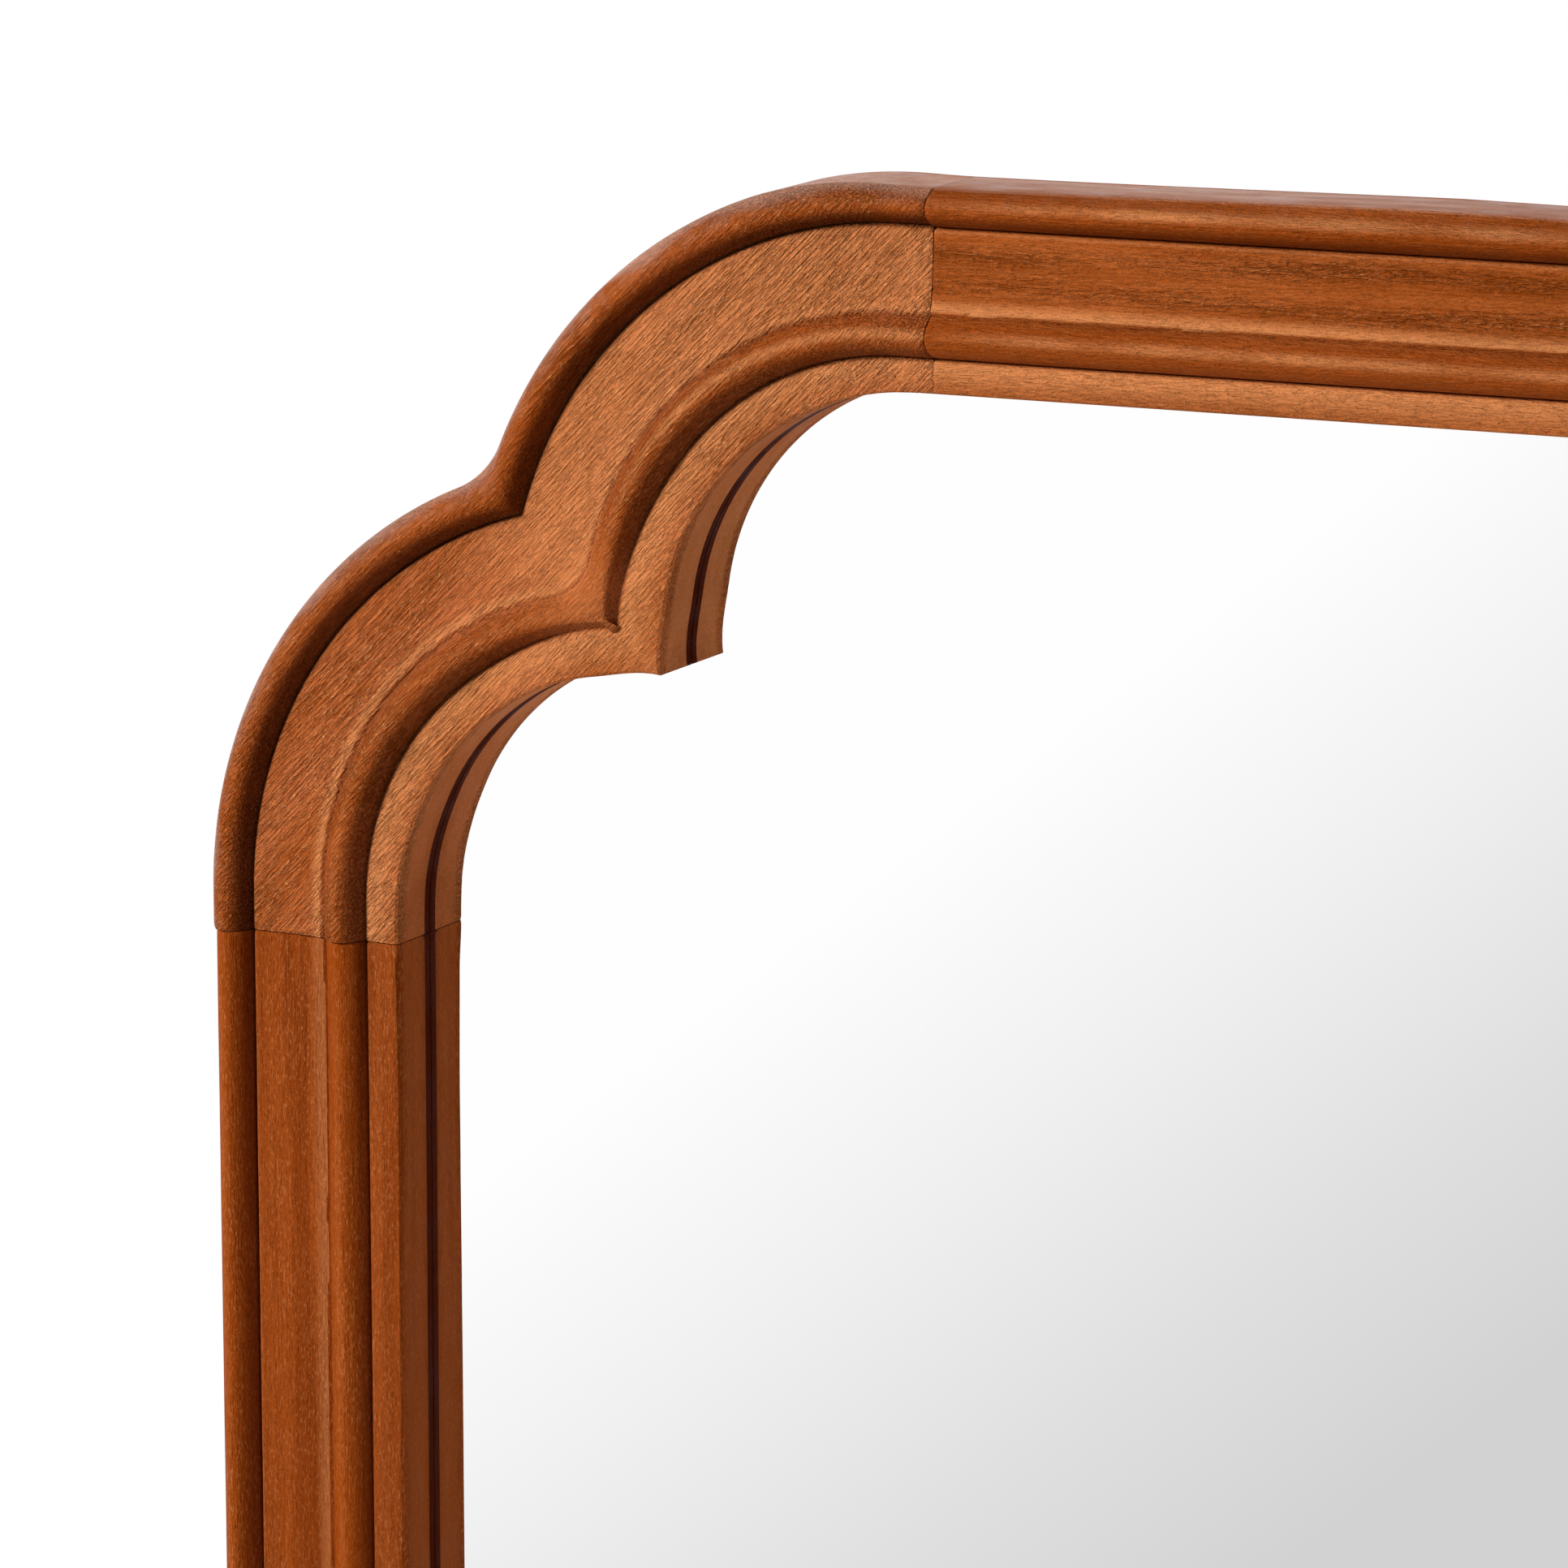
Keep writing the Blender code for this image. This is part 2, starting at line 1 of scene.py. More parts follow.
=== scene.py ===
"""Looks of a wall mirror with scalloped corner blocks in a carved hardwood frame.

Metres, +Z up, +X to the viewer's right. The glass faces -Y and the wall is at +Y.
The wood is modelled in corner space: x runs inward from the left outer edge, y backward from
the plane of the sight edge, and z upward from the top outer edge.
"""

from functools import partial
import math

import bmesh
import bpy
from bpy.props import FloatProperty, PointerProperty, StringProperty
from bpy.types import Operator, Panel, PropertyGroup
from mathutils import Matrix, Vector, noise


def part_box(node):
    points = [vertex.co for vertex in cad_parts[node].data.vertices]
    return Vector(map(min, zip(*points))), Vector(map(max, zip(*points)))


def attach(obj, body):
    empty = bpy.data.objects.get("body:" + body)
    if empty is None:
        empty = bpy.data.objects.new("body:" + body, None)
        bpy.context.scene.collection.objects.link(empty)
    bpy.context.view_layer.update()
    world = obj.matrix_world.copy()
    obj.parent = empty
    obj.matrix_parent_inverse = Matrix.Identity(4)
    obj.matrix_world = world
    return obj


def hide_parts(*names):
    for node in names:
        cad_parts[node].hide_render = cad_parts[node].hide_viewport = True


bl_info = {
    "name": "Scalloped wall mirror",
    "version": (1, 0, 0),
    "blender": (4, 5, 0),
    "location": "View3D > Sidebar > Mirror",
    "description": "Models a wall mirror in a carved hardwood frame",
    "category": "Add Mesh",
}

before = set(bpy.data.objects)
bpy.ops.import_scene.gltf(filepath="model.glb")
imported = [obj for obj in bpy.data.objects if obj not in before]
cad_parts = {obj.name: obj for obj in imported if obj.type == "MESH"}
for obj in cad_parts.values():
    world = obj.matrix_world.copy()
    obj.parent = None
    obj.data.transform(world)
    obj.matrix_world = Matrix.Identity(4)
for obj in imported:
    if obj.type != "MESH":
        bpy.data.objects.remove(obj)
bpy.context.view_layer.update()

# Places read from the frame
BLOCK_LOW, BLOCK_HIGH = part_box("corner_block_top_left")
STILE_LOW, STILE_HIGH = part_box("left_stile")
GLASS_LOW, GLASS_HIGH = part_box("mirror_glass")
BOARD_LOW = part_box("backing_board")[0]
BODY = "frame"
SIDES = {"left": -1, "right": 1}
ENDS = {"top": 1, "bottom": -1}
LEFT = STILE_LOW.x
TOP = BLOCK_HIGH.z
OVERALL_WIDTH = -2 * LEFT
OVERALL_HEIGHT = 2 * TOP
BLOCK_SIZE = BLOCK_HIGH.x - BLOCK_LOW.x
FACE_WIDTH = STILE_HIGH.x - STILE_LOW.x
WOOD_BACK = BLOCK_HIGH.y

# Fineness of the carved surface
LOBE_RINGS = 330
LOBE_CHORDS = 10
BEAD_STEPS = 26
FINE_STEP = 0.0005
PROFILE_STEP = 0.00075
PLAIN_STEP = 0.003
BAR_STEP = 0.0012
FINE_END_STEPS = 8
WELD_DISTANCE = 0.00002
NO_MERGE = -1.0
CUT_OVERRUN = 0.005
SIGHT_BAND = 0.0001
SHADE_STRIP_STEP = 0.0001
SMOOTH_ANGLE = math.radians(38)
FLAT_ANGLE = math.radians(1)

# Shares that shape the outline: how round a bead is, the quirk's open side, and where the lip rises
ROUND_BEAD = 0.5
BEAD_BESIDE_LIP = 0.1
SHOULDER_SHARES = ((0.35, 0.55), (0.7, 0.9), (1.0, 1.0))
LIP_RISE_SHARES = (0.72, 1.0)


def length_setting(label, about, default):
    """A length that a user may change."""
    return FloatProperty(name=label, description=about, default=default, unit="LENGTH", precision=5)


def angle_setting(label, about, degrees):
    """An angle that a user may change."""
    return FloatProperty(name=label, description=about, default=math.radians(degrees), subtype="ANGLE")


def colour_setting(label, about, code):
    """An sRGB hex colour that a user may change."""
    return StringProperty(name=label, description=about, default=code)


class MirrorMoulding(PropertyGroup):
    """Sizes of the moulding and of the corner blocks."""

    frame_depth: length_setting("Frame depth", "From the sight edge's plane to the wood's back", 0.030)
    outer_bead_width: length_setting("Outer bead", "Width of the outer bead", 0.0124)
    quirk_width: length_setting("Quirk", "Width of the groove beside a bead", 0.0005)
    field_width: length_setting("Field", "Width of the hollow field", 0.0243)
    lip_step_width: length_setting("Lip step", "Width of the step under the field's lip", 0.0009)
    inner_bead_width: length_setting("Inner bead", "Width of the inner bead", 0.0120)
    bead_rise: length_setting("Bead rise", "How far the beads stand in front of the sight edge", 0.0054)
    bead_foot: length_setting("Bead foot", "Depth of the beads' feet", 0.0022)
    quirk_depth: length_setting("Quirk depth", "Depth of the quirks", 0.0032)
    shoulder_width: length_setting("Shoulder width", "Width of the slope up from a quirk", 0.0009)
    shoulder_rise: length_setting("Shoulder rise", "How far the flat there is above the beads' feet", 0.0008)
    field_scoop: length_setting("Field scoop", "Hollow of the field", 0.0004)
    lip_rise: length_setting("Lip rise", "Height of the field's lip", 0.0007)
    lip_foot: length_setting("Lip foot", "Depth below the lip", -0.0003)
    arris_ease: length_setting("Arris ease", "Rounding of the sight edge", 0.0006)
    sight_radius: length_setting("Sight radius", "Radius of a lobe at the sight edge", 0.0763)
    lobe_spread_share: FloatProperty(
        name="Lobe spread", description="Distance between lobe centres, as a share of the sight radius",
        default=1.13)
    notch_setback: length_setting("Notch setback", "Reach of the rounding where the lobes meet", 0.011)
    shoulder_depth: length_setting("Shoulder depth", "Depth of the rabbet that the glass sits in", 0.0175)
    silver_setback: length_setting("Silver setback", "How far behind the glass's face the silver is", 0.0031)
    seat_play: length_setting("Seat play", "Room round the glass and the board in their rabbets", 0.0008)
    joint_gap: length_setting("Joint gap", "Gap between the blocks and the bars", 0.0003)


# The moulding's outline, as pairs of distance across from the outer edge and depth
def run_to(points, target, step):
    """Add evenly spaced points from the last point to the target."""
    start = Vector(points[-1])
    end = Vector(target)
    count = max(1, round((end - start).length / step))
    for index in range(1, count + 1):
        points.append(tuple(start.lerp(end, index / count)))


def bead_points(start, width, sizes, near_foot, near_roundness):
    """A round bead between its near foot and the quirk's, part ellipse and part sine wave."""
    points = []
    for index in range(BEAD_STEPS + 1):
        angle = math.pi * index / BEAD_STEPS
        share = (1 - math.cos(angle)) / 2
        foot, roundness = (near_foot, near_roundness) if share < 0.5 else (sizes.bead_foot, ROUND_BEAD)
        curve = roundness * math.sin(angle) + (1 - roundness) * math.sin(math.pi * share)
        points.append((start + width * share, foot - (sizes.bead_rise + foot) * curve))
    return points


def shoulder_points(start, sizes):
    """The open side of a quirk, which rises to the flat beside it."""
    rise = sizes.quirk_depth - sizes.bead_foot + sizes.shoulder_rise
    points = [(start - sizes.quirk_width / 2, sizes.quirk_depth)]
    for along, up in SHOULDER_SHARES:
        points.append((start + sizes.shoulder_width * along, sizes.quirk_depth - rise * up))
    return points


def field_place(sizes):
    """Where the field starts and where its lip is."""
    start = sizes.outer_bead_width + sizes.quirk_width
    return start, start + sizes.field_width


def inner_bead_place(sizes):
    """Where the inner bead starts and ends."""
    start = field_place(sizes)[1] + sizes.lip_step_width
    return start, start + sizes.inner_bead_width


def front_outline(sizes):
    """The outline from the outer face's back edge to the sight edge."""
    field_start, lip = field_place(sizes)
    inner_start, inner_end = inner_bead_place(sizes)
    points = [(0.0, sizes.frame_depth)]
    run_to(points, (0.0, sizes.bead_foot), PLAIN_STEP)
    points += bead_points(0.0, sizes.outer_bead_width, sizes, sizes.bead_foot, ROUND_BEAD)[1:]
    points += shoulder_points(field_start, sizes)
    start, top = points[-1]
    steps = round((lip - start) / PROFILE_STEP)
    for index in range(1, steps + 1):
        share = index / steps
        depth = top - top * share - sizes.lip_rise * smooth_share(share, *LIP_RISE_SHARES)
        depth += sizes.field_scoop * math.sin(math.pi * share)
        points.append((start + (lip - start) * share, depth))
    run_to(points, (inner_start, sizes.lip_foot), FINE_STEP)
    points += bead_points(inner_start, sizes.inner_bead_width, sizes, sizes.lip_foot, BEAD_BESIDE_LIP)[1:]
    points += shoulder_points(inner_end + sizes.quirk_width, sizes)
    run_to(points, (FACE_WIDTH - sizes.arris_ease, 0.0), PROFILE_STEP)
    run_to(points, (FACE_WIDTH, sizes.arris_ease), FINE_STEP)
    return points


def sight_outline(sizes):
    """The front outline and the sight face down to the silver, with a close step where its dark strip of
    painted shade starts.
    """
    points = front_outline(sizes)
    run_to(points, (FACE_WIDTH, sizes.shoulder_depth), PLAIN_STEP)
    # The dark strip of painted shade on the sight face starts at the shoulder.
    points.append((FACE_WIDTH, sizes.shoulder_depth + SHADE_STRIP_STEP))
    points.append((FACE_WIDTH, rabbet_depth(sizes) - SHADE_STRIP_STEP))
    return points


def block_outline(sizes):
    """The closed outline of a corner block before its rabbets are cut."""
    return sight_outline(sizes) + [(FACE_WIDTH, sizes.frame_depth)]


def rabbet_depth(sizes):
    """Depth of the sight face's back edge, which the eye sees meet the silver."""
    return sizes.shoulder_depth + sizes.silver_setback


def rabbet_places(sizes):
    """Distances across to the glass rabbet's wall and the board rabbet's wall, and the ledge's depth."""
    glass_wall = GLASS_LOW.x - LEFT - sizes.seat_play
    board_wall = BOARD_LOW.x - LEFT - sizes.seat_play
    ledge_depth = BOARD_LOW.y - arris_plane(sizes) - sizes.joint_gap
    return glass_wall, board_wall, ledge_depth


def bar_outline(sizes):
    """The closed outline of a rail or stile, with its rabbets."""
    glass_wall, board_wall, ledge_depth = rabbet_places(sizes)
    return sight_outline(sizes) + [
        (FACE_WIDTH, rabbet_depth(sizes)),
        (glass_wall, rabbet_depth(sizes)),
        (glass_wall, ledge_depth),
        (board_wall, ledge_depth),
        (board_wall, sizes.frame_depth),
    ]


def arris_plane(sizes):
    """Y of the sight edge's plane."""
    return WOOD_BACK - sizes.frame_depth


# The block's shape: two round lobes that meet on the corner's diagonal
def lobe_places(sizes):
    """Outer radius of a lobe, and the far distance of its centre."""
    radius = sizes.sight_radius + FACE_WIDTH
    return radius, radius + sizes.sight_radius * sizes.lobe_spread_share


def notch_turn(sizes, across):
    """The angle that a lobe turns through at this distance across, from the joint to the diagonal."""
    radius, far = lobe_places(sizes)
    own = radius - across
    middle = (radius + far) / 2
    place = middle - math.sqrt(own ** 2 / 2 - ((far - radius) / 2) ** 2)
    return math.atan2(far - place, radius - place)


def notch_setback(sizes, across):
    """How far from the diagonal the rounding of the notch starts, which is sharp at the quirks."""
    field_start, lip = field_place(sizes)
    inner_start, inner_end = inner_bead_place(sizes)
    if across <= sizes.outer_bead_width:
        share = 1 - across / sizes.outer_bead_width
    elif across < field_start:
        share = 0.0
    elif across <= lip:
        share = (across - field_start) / sizes.field_width
    elif across < inner_start:
        share = 1.0
    elif across <= inner_end:
        share = 1 - (across - inner_start) / sizes.inner_bead_width
    else:
        share = 0.0
    return sizes.notch_setback * share


def sweep(bm, layer, edges, rings, steps=1, move=(0, 0, 0), centre=(0, 0, 0), angle=0.0):
    """Sweep a wire outline by a move or a turn, divide its steps into rings, and return the end's edges."""
    known = set(bm.edges)
    outline = list({corner for edge in edges for corner in edge.verts}) + list(edges)
    made = bmesh.ops.spin(
        bm, geom=outline, cent=centre, axis=(0, 1, 0), dvec=Vector(move) / steps, angle=angle, steps=steps,
        use_merge=False, use_duplicate=False)
    lengthwise = []
    for edge in bm.edges:
        start, end = edge.verts
        if edge not in known and abs(start[layer] - end[layer]) + abs(start.co.y - end.co.y) < WELD_DISTANCE:
            lengthwise.append(edge)
    bmesh.ops.subdivide_edges(bm, edges=lengthwise, cuts=round(rings / steps) - 1, use_grid_fill=True)
    return [item for item in made["geom_last"] if isinstance(item, bmesh.types.BMEdge)]


def add_wire(bm, places):
    """Add a closed wire through these places."""
    corners = [bm.verts.new(place) for place in places]
    return [bm.edges.new((corner, corners[index - 1])) for index, corner in enumerate(corners)]


def start_moulding(outline, z):
    """A bmesh that holds an outline at this height, with a layer that notes each point's distance across."""
    bm = bmesh.new()
    layer = bm.verts.layers.float.new("across")
    edges = add_wire(bm, [(across, depth, z) for across, depth in outline])
    for corner in bm.verts:
        corner[layer] = corner.co.x
    return bm, layer, edges


def close_ends(bm):
    """Fill a shell's open ends and turn its faces outward."""
    bmesh.ops.holes_fill(bm, edges=[edge for edge in bm.edges if edge.is_boundary], sides=0)
    bmesh.ops.recalc_face_normals(bm, faces=bm.faces)


def round_the_notch(sizes, bm, layer):
    """Ease the stile's lobe into a round notch beside the diagonal."""
    for corner in bm.verts:
        across = corner[layer]
        setback = notch_setback(sizes, across)
        if setback < WELD_DISTANCE:
            continue
        turn = notch_turn(sizes, across)
        bend = math.asin((math.sin(turn) - math.cos(turn)) / math.sqrt(2))
        aside = max(0.0, -corner.co.z - corner.co.x) / math.sqrt(2)
        if aside < setback * math.cos(bend):
            curve = setback / math.sin(bend) - math.sqrt((setback / math.tan(bend)) ** 2 - aside ** 2)
            shift = (curve - aside * math.tan(bend)) / math.sqrt(2)
            corner.co.x -= shift
            corner.co.z += shift


def block_mesh(sizes):
    """A plain corner block in corner space: a swept lobe and its mirror image, with rabbets cut."""
    radius, far = lobe_places(sizes)
    bm, layer, edges = start_moulding(block_outline(sizes), -BLOCK_SIZE)
    straight = BLOCK_SIZE - far
    edges = sweep(bm, layer, edges, round(straight / FINE_STEP), move=(0, 0, straight))
    turn = notch_turn(sizes, FACE_WIDTH)
    sweep(bm, layer, edges, LOBE_RINGS, LOBE_CHORDS, centre=(radius, 0, -far), angle=turn)
    for corner in bm.verts:
        if corner.co.z + far > WELD_DISTANCE:
            own = radius - corner[layer]
            full = notch_turn(sizes, corner[layer])
            angle = math.atan2(corner.co.z + far, radius - corner.co.x) * full / turn
            corner.co.x = radius - own * math.cos(angle)
            corner.co.z = own * math.sin(angle) - far
    round_the_notch(sizes, bm, layer)
    diagonal = Matrix.Rotation(math.radians(45), 4, "Y")
    bmesh.ops.mirror(
        bm, geom=bm.verts[:] + bm.edges[:] + bm.faces[:], matrix=diagonal, merge_dist=NO_MERGE, axis="X")
    bmesh.ops.remove_doubles(bm, verts=bm.verts, dist=WELD_DISTANCE)
    close_ends(bm)
    return cut_mesh(to_mesh(bm, "block_before_rabbet"), rabbet_cutter(sizes))


def rabbet_cutter(sizes):
    """The stepped hollow that a corner block leaves for the glass and the board."""
    glass_wall, board_wall, ledge_depth = rabbet_places(sizes)
    radius, far = lobe_places(sizes)
    reach = max(OVERALL_WIDTH, OVERALL_HEIGHT)
    bm = bmesh.new()
    loops = []
    for wall, depth in (
            (glass_wall, rabbet_depth(sizes)), (glass_wall, ledge_depth), (board_wall, ledge_depth),
            (board_wall, sizes.frame_depth + CUT_OVERRUN)):
        clip = radius + far - math.sqrt(2) * (sizes.sight_radius + (FACE_WIDTH - wall)) - wall
        clipped = [(wall, -reach), (wall, -clip), (clip, -wall), (reach, -wall), (reach, -reach)]
        loops.append(add_wire(bm, [(x, depth, z) for x, z in clipped]))
    for near, far_loop in zip(loops, loops[1:]):
        bmesh.ops.bridge_loops(bm, edges=near + far_loop)
    close_ends(bm)
    return to_mesh(bm, "rabbet_cutter")


# Helpers for meshes and objects
def to_mesh(bm, name):
    """Turn a bmesh into a mesh."""
    mesh = bpy.data.meshes.new(name)
    bm.to_mesh(mesh)
    bm.free()
    return mesh


def cut_mesh(mesh, cutter):
    """Return a mesh with a cutter's volume taken away."""
    item = bpy.data.objects.new("being_cut", mesh)
    tool = bpy.data.objects.new("cutter", cutter)
    for thing in (item, tool):
        bpy.context.scene.collection.objects.link(thing)
    modifier = item.modifiers.new("cut", "BOOLEAN")
    modifier.operation = "DIFFERENCE"
    modifier.solver = "EXACT"
    modifier.object = tool
    graph = bpy.context.evaluated_depsgraph_get()
    result = bpy.data.meshes.new_from_object(item.evaluated_get(graph))
    for thing in (item, tool):
        bpy.data.objects.remove(thing)
    return result


def add_piece(name, mesh, material, node):
    """Add a finished piece that stands for its CAD node and rides on the frame's body."""
    piece = bpy.data.objects.new(name, mesh)
    bpy.context.scene.collection.objects.link(piece)
    mesh.materials.clear()
    mesh.materials.append(material)
    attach(piece, BODY)
    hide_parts(node)


# Carving: small shifts of the plain surface, each given as (inward, backward)
class MirrorCarving(PropertyGroup):
    """Sizes of the marks that hand carving and sanding left."""

    ridge_height: length_setting("Ridge height", "Height of the torn grain on the corner blocks", 0.00011)
    ridge_spacing: length_setting("Ridge spacing", "Spacing of the torn grain", 0.0015)
    ridge_length: length_setting("Ridge length", "Length of the torn grain", 0.007)
    sight_inset: length_setting("Sight inset", "How far in the upright sight edges stand", 0.0019)
    tear_depth: length_setting("Tear depth", "How far the lip is torn back", 0.0009)
    tear_spacing: length_setting("Tear spacing", "Spacing of the tears along the lip", 0.0020)
    groove: length_setting("Joint groove", "How far the edges at a joint are worn back", 0.00035)
    bead_drop: length_setting("Bead drop", "How much lower the bars' beads are than the blocks'", 0.0006)
    stile_bead_drop: length_setting("Stile bead drop", "How much lower the stiles' inner beads are", 0.0016)
    stile_inset: length_setting("Stile inset", "How far a stile's outer face is inside the block's", 0.0009)
    sight_bulge: length_setting("Sight bulge", "How far inside their circle the round edges are", 0.0020)
    lip_sanding: length_setting("Lip sanding", "How far from the lip the stile's field is sanded", 0.008)
    bead_taper: length_setting("Bead taper", "How much narrower the inner bead is at the notch", 0.0022)
    flat_fillet: length_setting("Flat fillet", "How far back the stile's sight edge stands", 0.0020)
    planed: length_setting("Planed top", "How far a rail's outer face is planed beside the joint", 0.0021)
    planed_reach: length_setting("Planed reach", "Where the planing runs out on a block", 0.060)
    notch_drop: length_setting("Notch drop", "How much lower the inner bead is at the notch", 0.0024)
    quirk_fill: FloatProperty(
        name="Quirk fill", description="How far a block's inner quirk is filled, as a share of its depth",
        default=0.35)
    chamfer: length_setting("Sanded chamfer", "Chamfer on the stile's sight edge beside the joint", 0.0012)
    chamfer_reach: length_setting("Chamfer reach", "Length over which the chamfer runs out", 0.170)


# Sizes of ripples in the wood's surface, along and across the grain
WORN_RIPPLE = (0.0013,)
NICK_RIPPLE = (0.0004,)
LIP_RIPPLE = (0.006,)
PATCH_RIPPLE = (0.030, 0.014)
CROWN_RIPPLE = (0.02, 0.02)
BAR_RIPPLE = (0.03, 0.006)
PLANE_RIPPLE = (0.02, 0.0025)

# Heights of those ripples, the bars' shifted edges, and the facet along a rail's outer bead
LIP_WAVE = 0.00018
CROWN_WAVE = 0.00025
BAR_WAVE = 0.00015
PLANE_WAVE = 0.00006
STILE_LIP_SHIFT = 0.0007
RAIL_BEAD_SHIFT = 0.0006
FACET_WIDTH = 0.0023
FACET_GROWTH = 0.0030

# Reaches over which the carving changes, from a joint, the notch or an edge
GROOVE_REACH = (0.0, 2 * FINE_STEP)
END_ROUND_REACH = (0.0, 0.0035)
QUIRK_FILL_REACH = (0.004, 0.040)
NOTCH_DROP_REACH = (0.0, 0.060)
LIP_REACH = (0.0, 0.0016)
STILE_TEAR_START = (0.004, 0.009)
STILE_TEAR_END = (0.018, 0.045)
RAIL_TEAR_END = (0.030, 0.075)
BULGE_FROM_NOTCH = (0.0, 0.022)
BULGE_FROM_JOINT = (0.002, 0.045)
TAPER_REACH = (0.0, 0.055)
BLOCK_FILLET_REACH = (0.0, 0.03)
STILE_FILLET_REACH = (0.0, 0.06)
BAR_REACH = (0.0, 0.2)
STILE_LIP_REACH = 0.004
CHAMFER_START = (0.0, 0.015)
FACET_REACH = (0.0, 0.16)
RAIL_SHIFT_END = (0.004, 0.012)

# How far apart the seeds' places are in the noise, in ripples
SEED_STRIDES = (17.3, -9.1, 3.7)


def smooth_share(value, low, high):
    """0 below low, 1 above high, and an even S curve between."""
    share = min(1.0, max(0.0, (value - low) / (high - low)))
    return share * share * (3 - 2 * share)


def fading_share(value, low, high):
    """1 below low, 0 above high, and an even S curve between."""
    return 1 - smooth_share(value, low, high)


def wander(seed, ripple, *places):
    """Smooth noise from -1 to 1 whose ripples have these sizes."""
    shares = [place / size for place, size in zip(places, ripple)] + [0.0, 0.0]
    return noise.noise(Vector([share + stride * seed for share, stride in zip(shares, SEED_STRIDES)]))


def bead_share(sizes, across):
    """How high on a bead this distance across is, from 0 at a foot to 1 at a crown."""
    inner_start, inner_end = inner_bead_place(sizes)
    for start, end in ((0.0, sizes.outer_bead_width), (inner_start, inner_end)):
        if start <= across <= end:
            return math.sin(math.pi * (across - start) / (end - start))
    return 0.0


def fillet_share(sizes, across):
    """How far across the fillet a point is, from 0 at the inner bead to 1 at the sight edge."""
    inner_end = inner_bead_place(sizes)[1]
    return min(1.0, max(0.0, (across - inner_end) / (FACE_WIDTH - inner_end)))


def taper_share(sizes, across):
    """1 at the quirk inside the inner bead, running out over the bead's flank and the fillet."""
    inner_start, inner_end = inner_bead_place(sizes)
    flank = smooth_share(across, (inner_start + inner_end) / 2, inner_end)
    return flank * fading_share(across, inner_end + sizes.quirk_width, FACE_WIDTH)


def joint_groove(carving, seed, across, from_joint):
    """Depth of the worn edge right at a joint."""
    uneven = 1 + wander(seed, WORN_RIPPLE, across) + 0.6 * wander(seed + 5, NICK_RIPPLE, across)
    return carving.groove * max(0.2, uneven) * fading_share(from_joint, *GROOVE_REACH)


def lip_carving(carving, seed, from_joint, from_notch, on_stile):
    """How far inward a block's lip wavers, less what is torn off it."""
    if on_stile:
        torn = fading_share(from_notch, *STILE_TEAR_END) * smooth_share(from_notch, *STILE_TEAR_START)
    else:
        torn = fading_share(from_joint, *RAIL_TEAR_END)
    tear = max(0.0, wander(seed + 7, (carving.tear_spacing,), from_notch) + 0.15)
    tear += 0.5 * max(0.0, wander(seed + 8, (carving.tear_spacing / 2.7,), from_notch))
    return LIP_WAVE * wander(seed + 4, LIP_RIPPLE, from_notch) - carving.tear_depth * torn * tear


def block_carving(sizes, carving, seed, across, depth, x, z, from_joint, from_notch, on_stile):
    """Shifts of a point on the front of a corner block."""
    field_start, lip = field_place(sizes)
    inner_end = inner_bead_place(sizes)[1]
    crown = bead_share(sizes, across)
    backward = joint_groove(carving, seed, across, from_joint)
    grain = ((x + z) / math.sqrt(2), (x - z) / math.sqrt(2))
    patch = 0.55 + 0.6 * wander(seed + 2, PATCH_RIPPLE, *grain)
    ridge = wander(seed, (carving.ridge_length, carving.ridge_spacing), *grain)
    backward += carving.ridge_height * (1 - 0.75 * crown) * max(0.1, patch) * ridge
    backward += crown * CROWN_WAVE * wander(seed + 3, CROWN_RIPPLE, x, z)
    end_round = fading_share(from_joint, *END_ROUND_REACH)
    backward += crown * carving.bead_drop * (1.0 if on_stile else 0.5) * end_round * end_round
    flat = sizes.bead_foot - sizes.shoulder_rise
    if depth > flat and across > inner_end - sizes.inner_bead_width * 0.3:
        fill = carving.quirk_fill + 0.6 * fading_share(from_notch, *QUIRK_FILL_REACH)
        backward -= fill * (depth - flat)
    elif depth > flat and sizes.outer_bead_width * 0.7 < across < field_start + sizes.shoulder_width:
        backward -= carving.quirk_fill * (depth - flat)
    if across > lip:
        backward += crown * carving.notch_drop * fading_share(from_notch, *NOTCH_DROP_REACH)
    near_lip = fading_share(abs(across - lip), *LIP_REACH)
    if near_lip == 0.0:
        return 0.0, backward
    return near_lip * lip_carving(carving, seed, from_joint, from_notch, on_stile), backward


def lobe_point(sizes, x, z):
    """A point's place on its lobe: from the nearer outer edge, down, turned through, and the way inward."""
    radius, far = lobe_places(sizes)
    on_stile = -z >= x
    near, down = (x, -z) if on_stile else (-z, x)
    if down > far:
        return on_stile, down, near, 0.0, (1.0, 0.0)
    angle = math.atan2(far - down, radius - near)
    across = radius - math.hypot(far - down, radius - near)
    return on_stile, down, across, angle, (math.cos(angle), math.sin(angle))


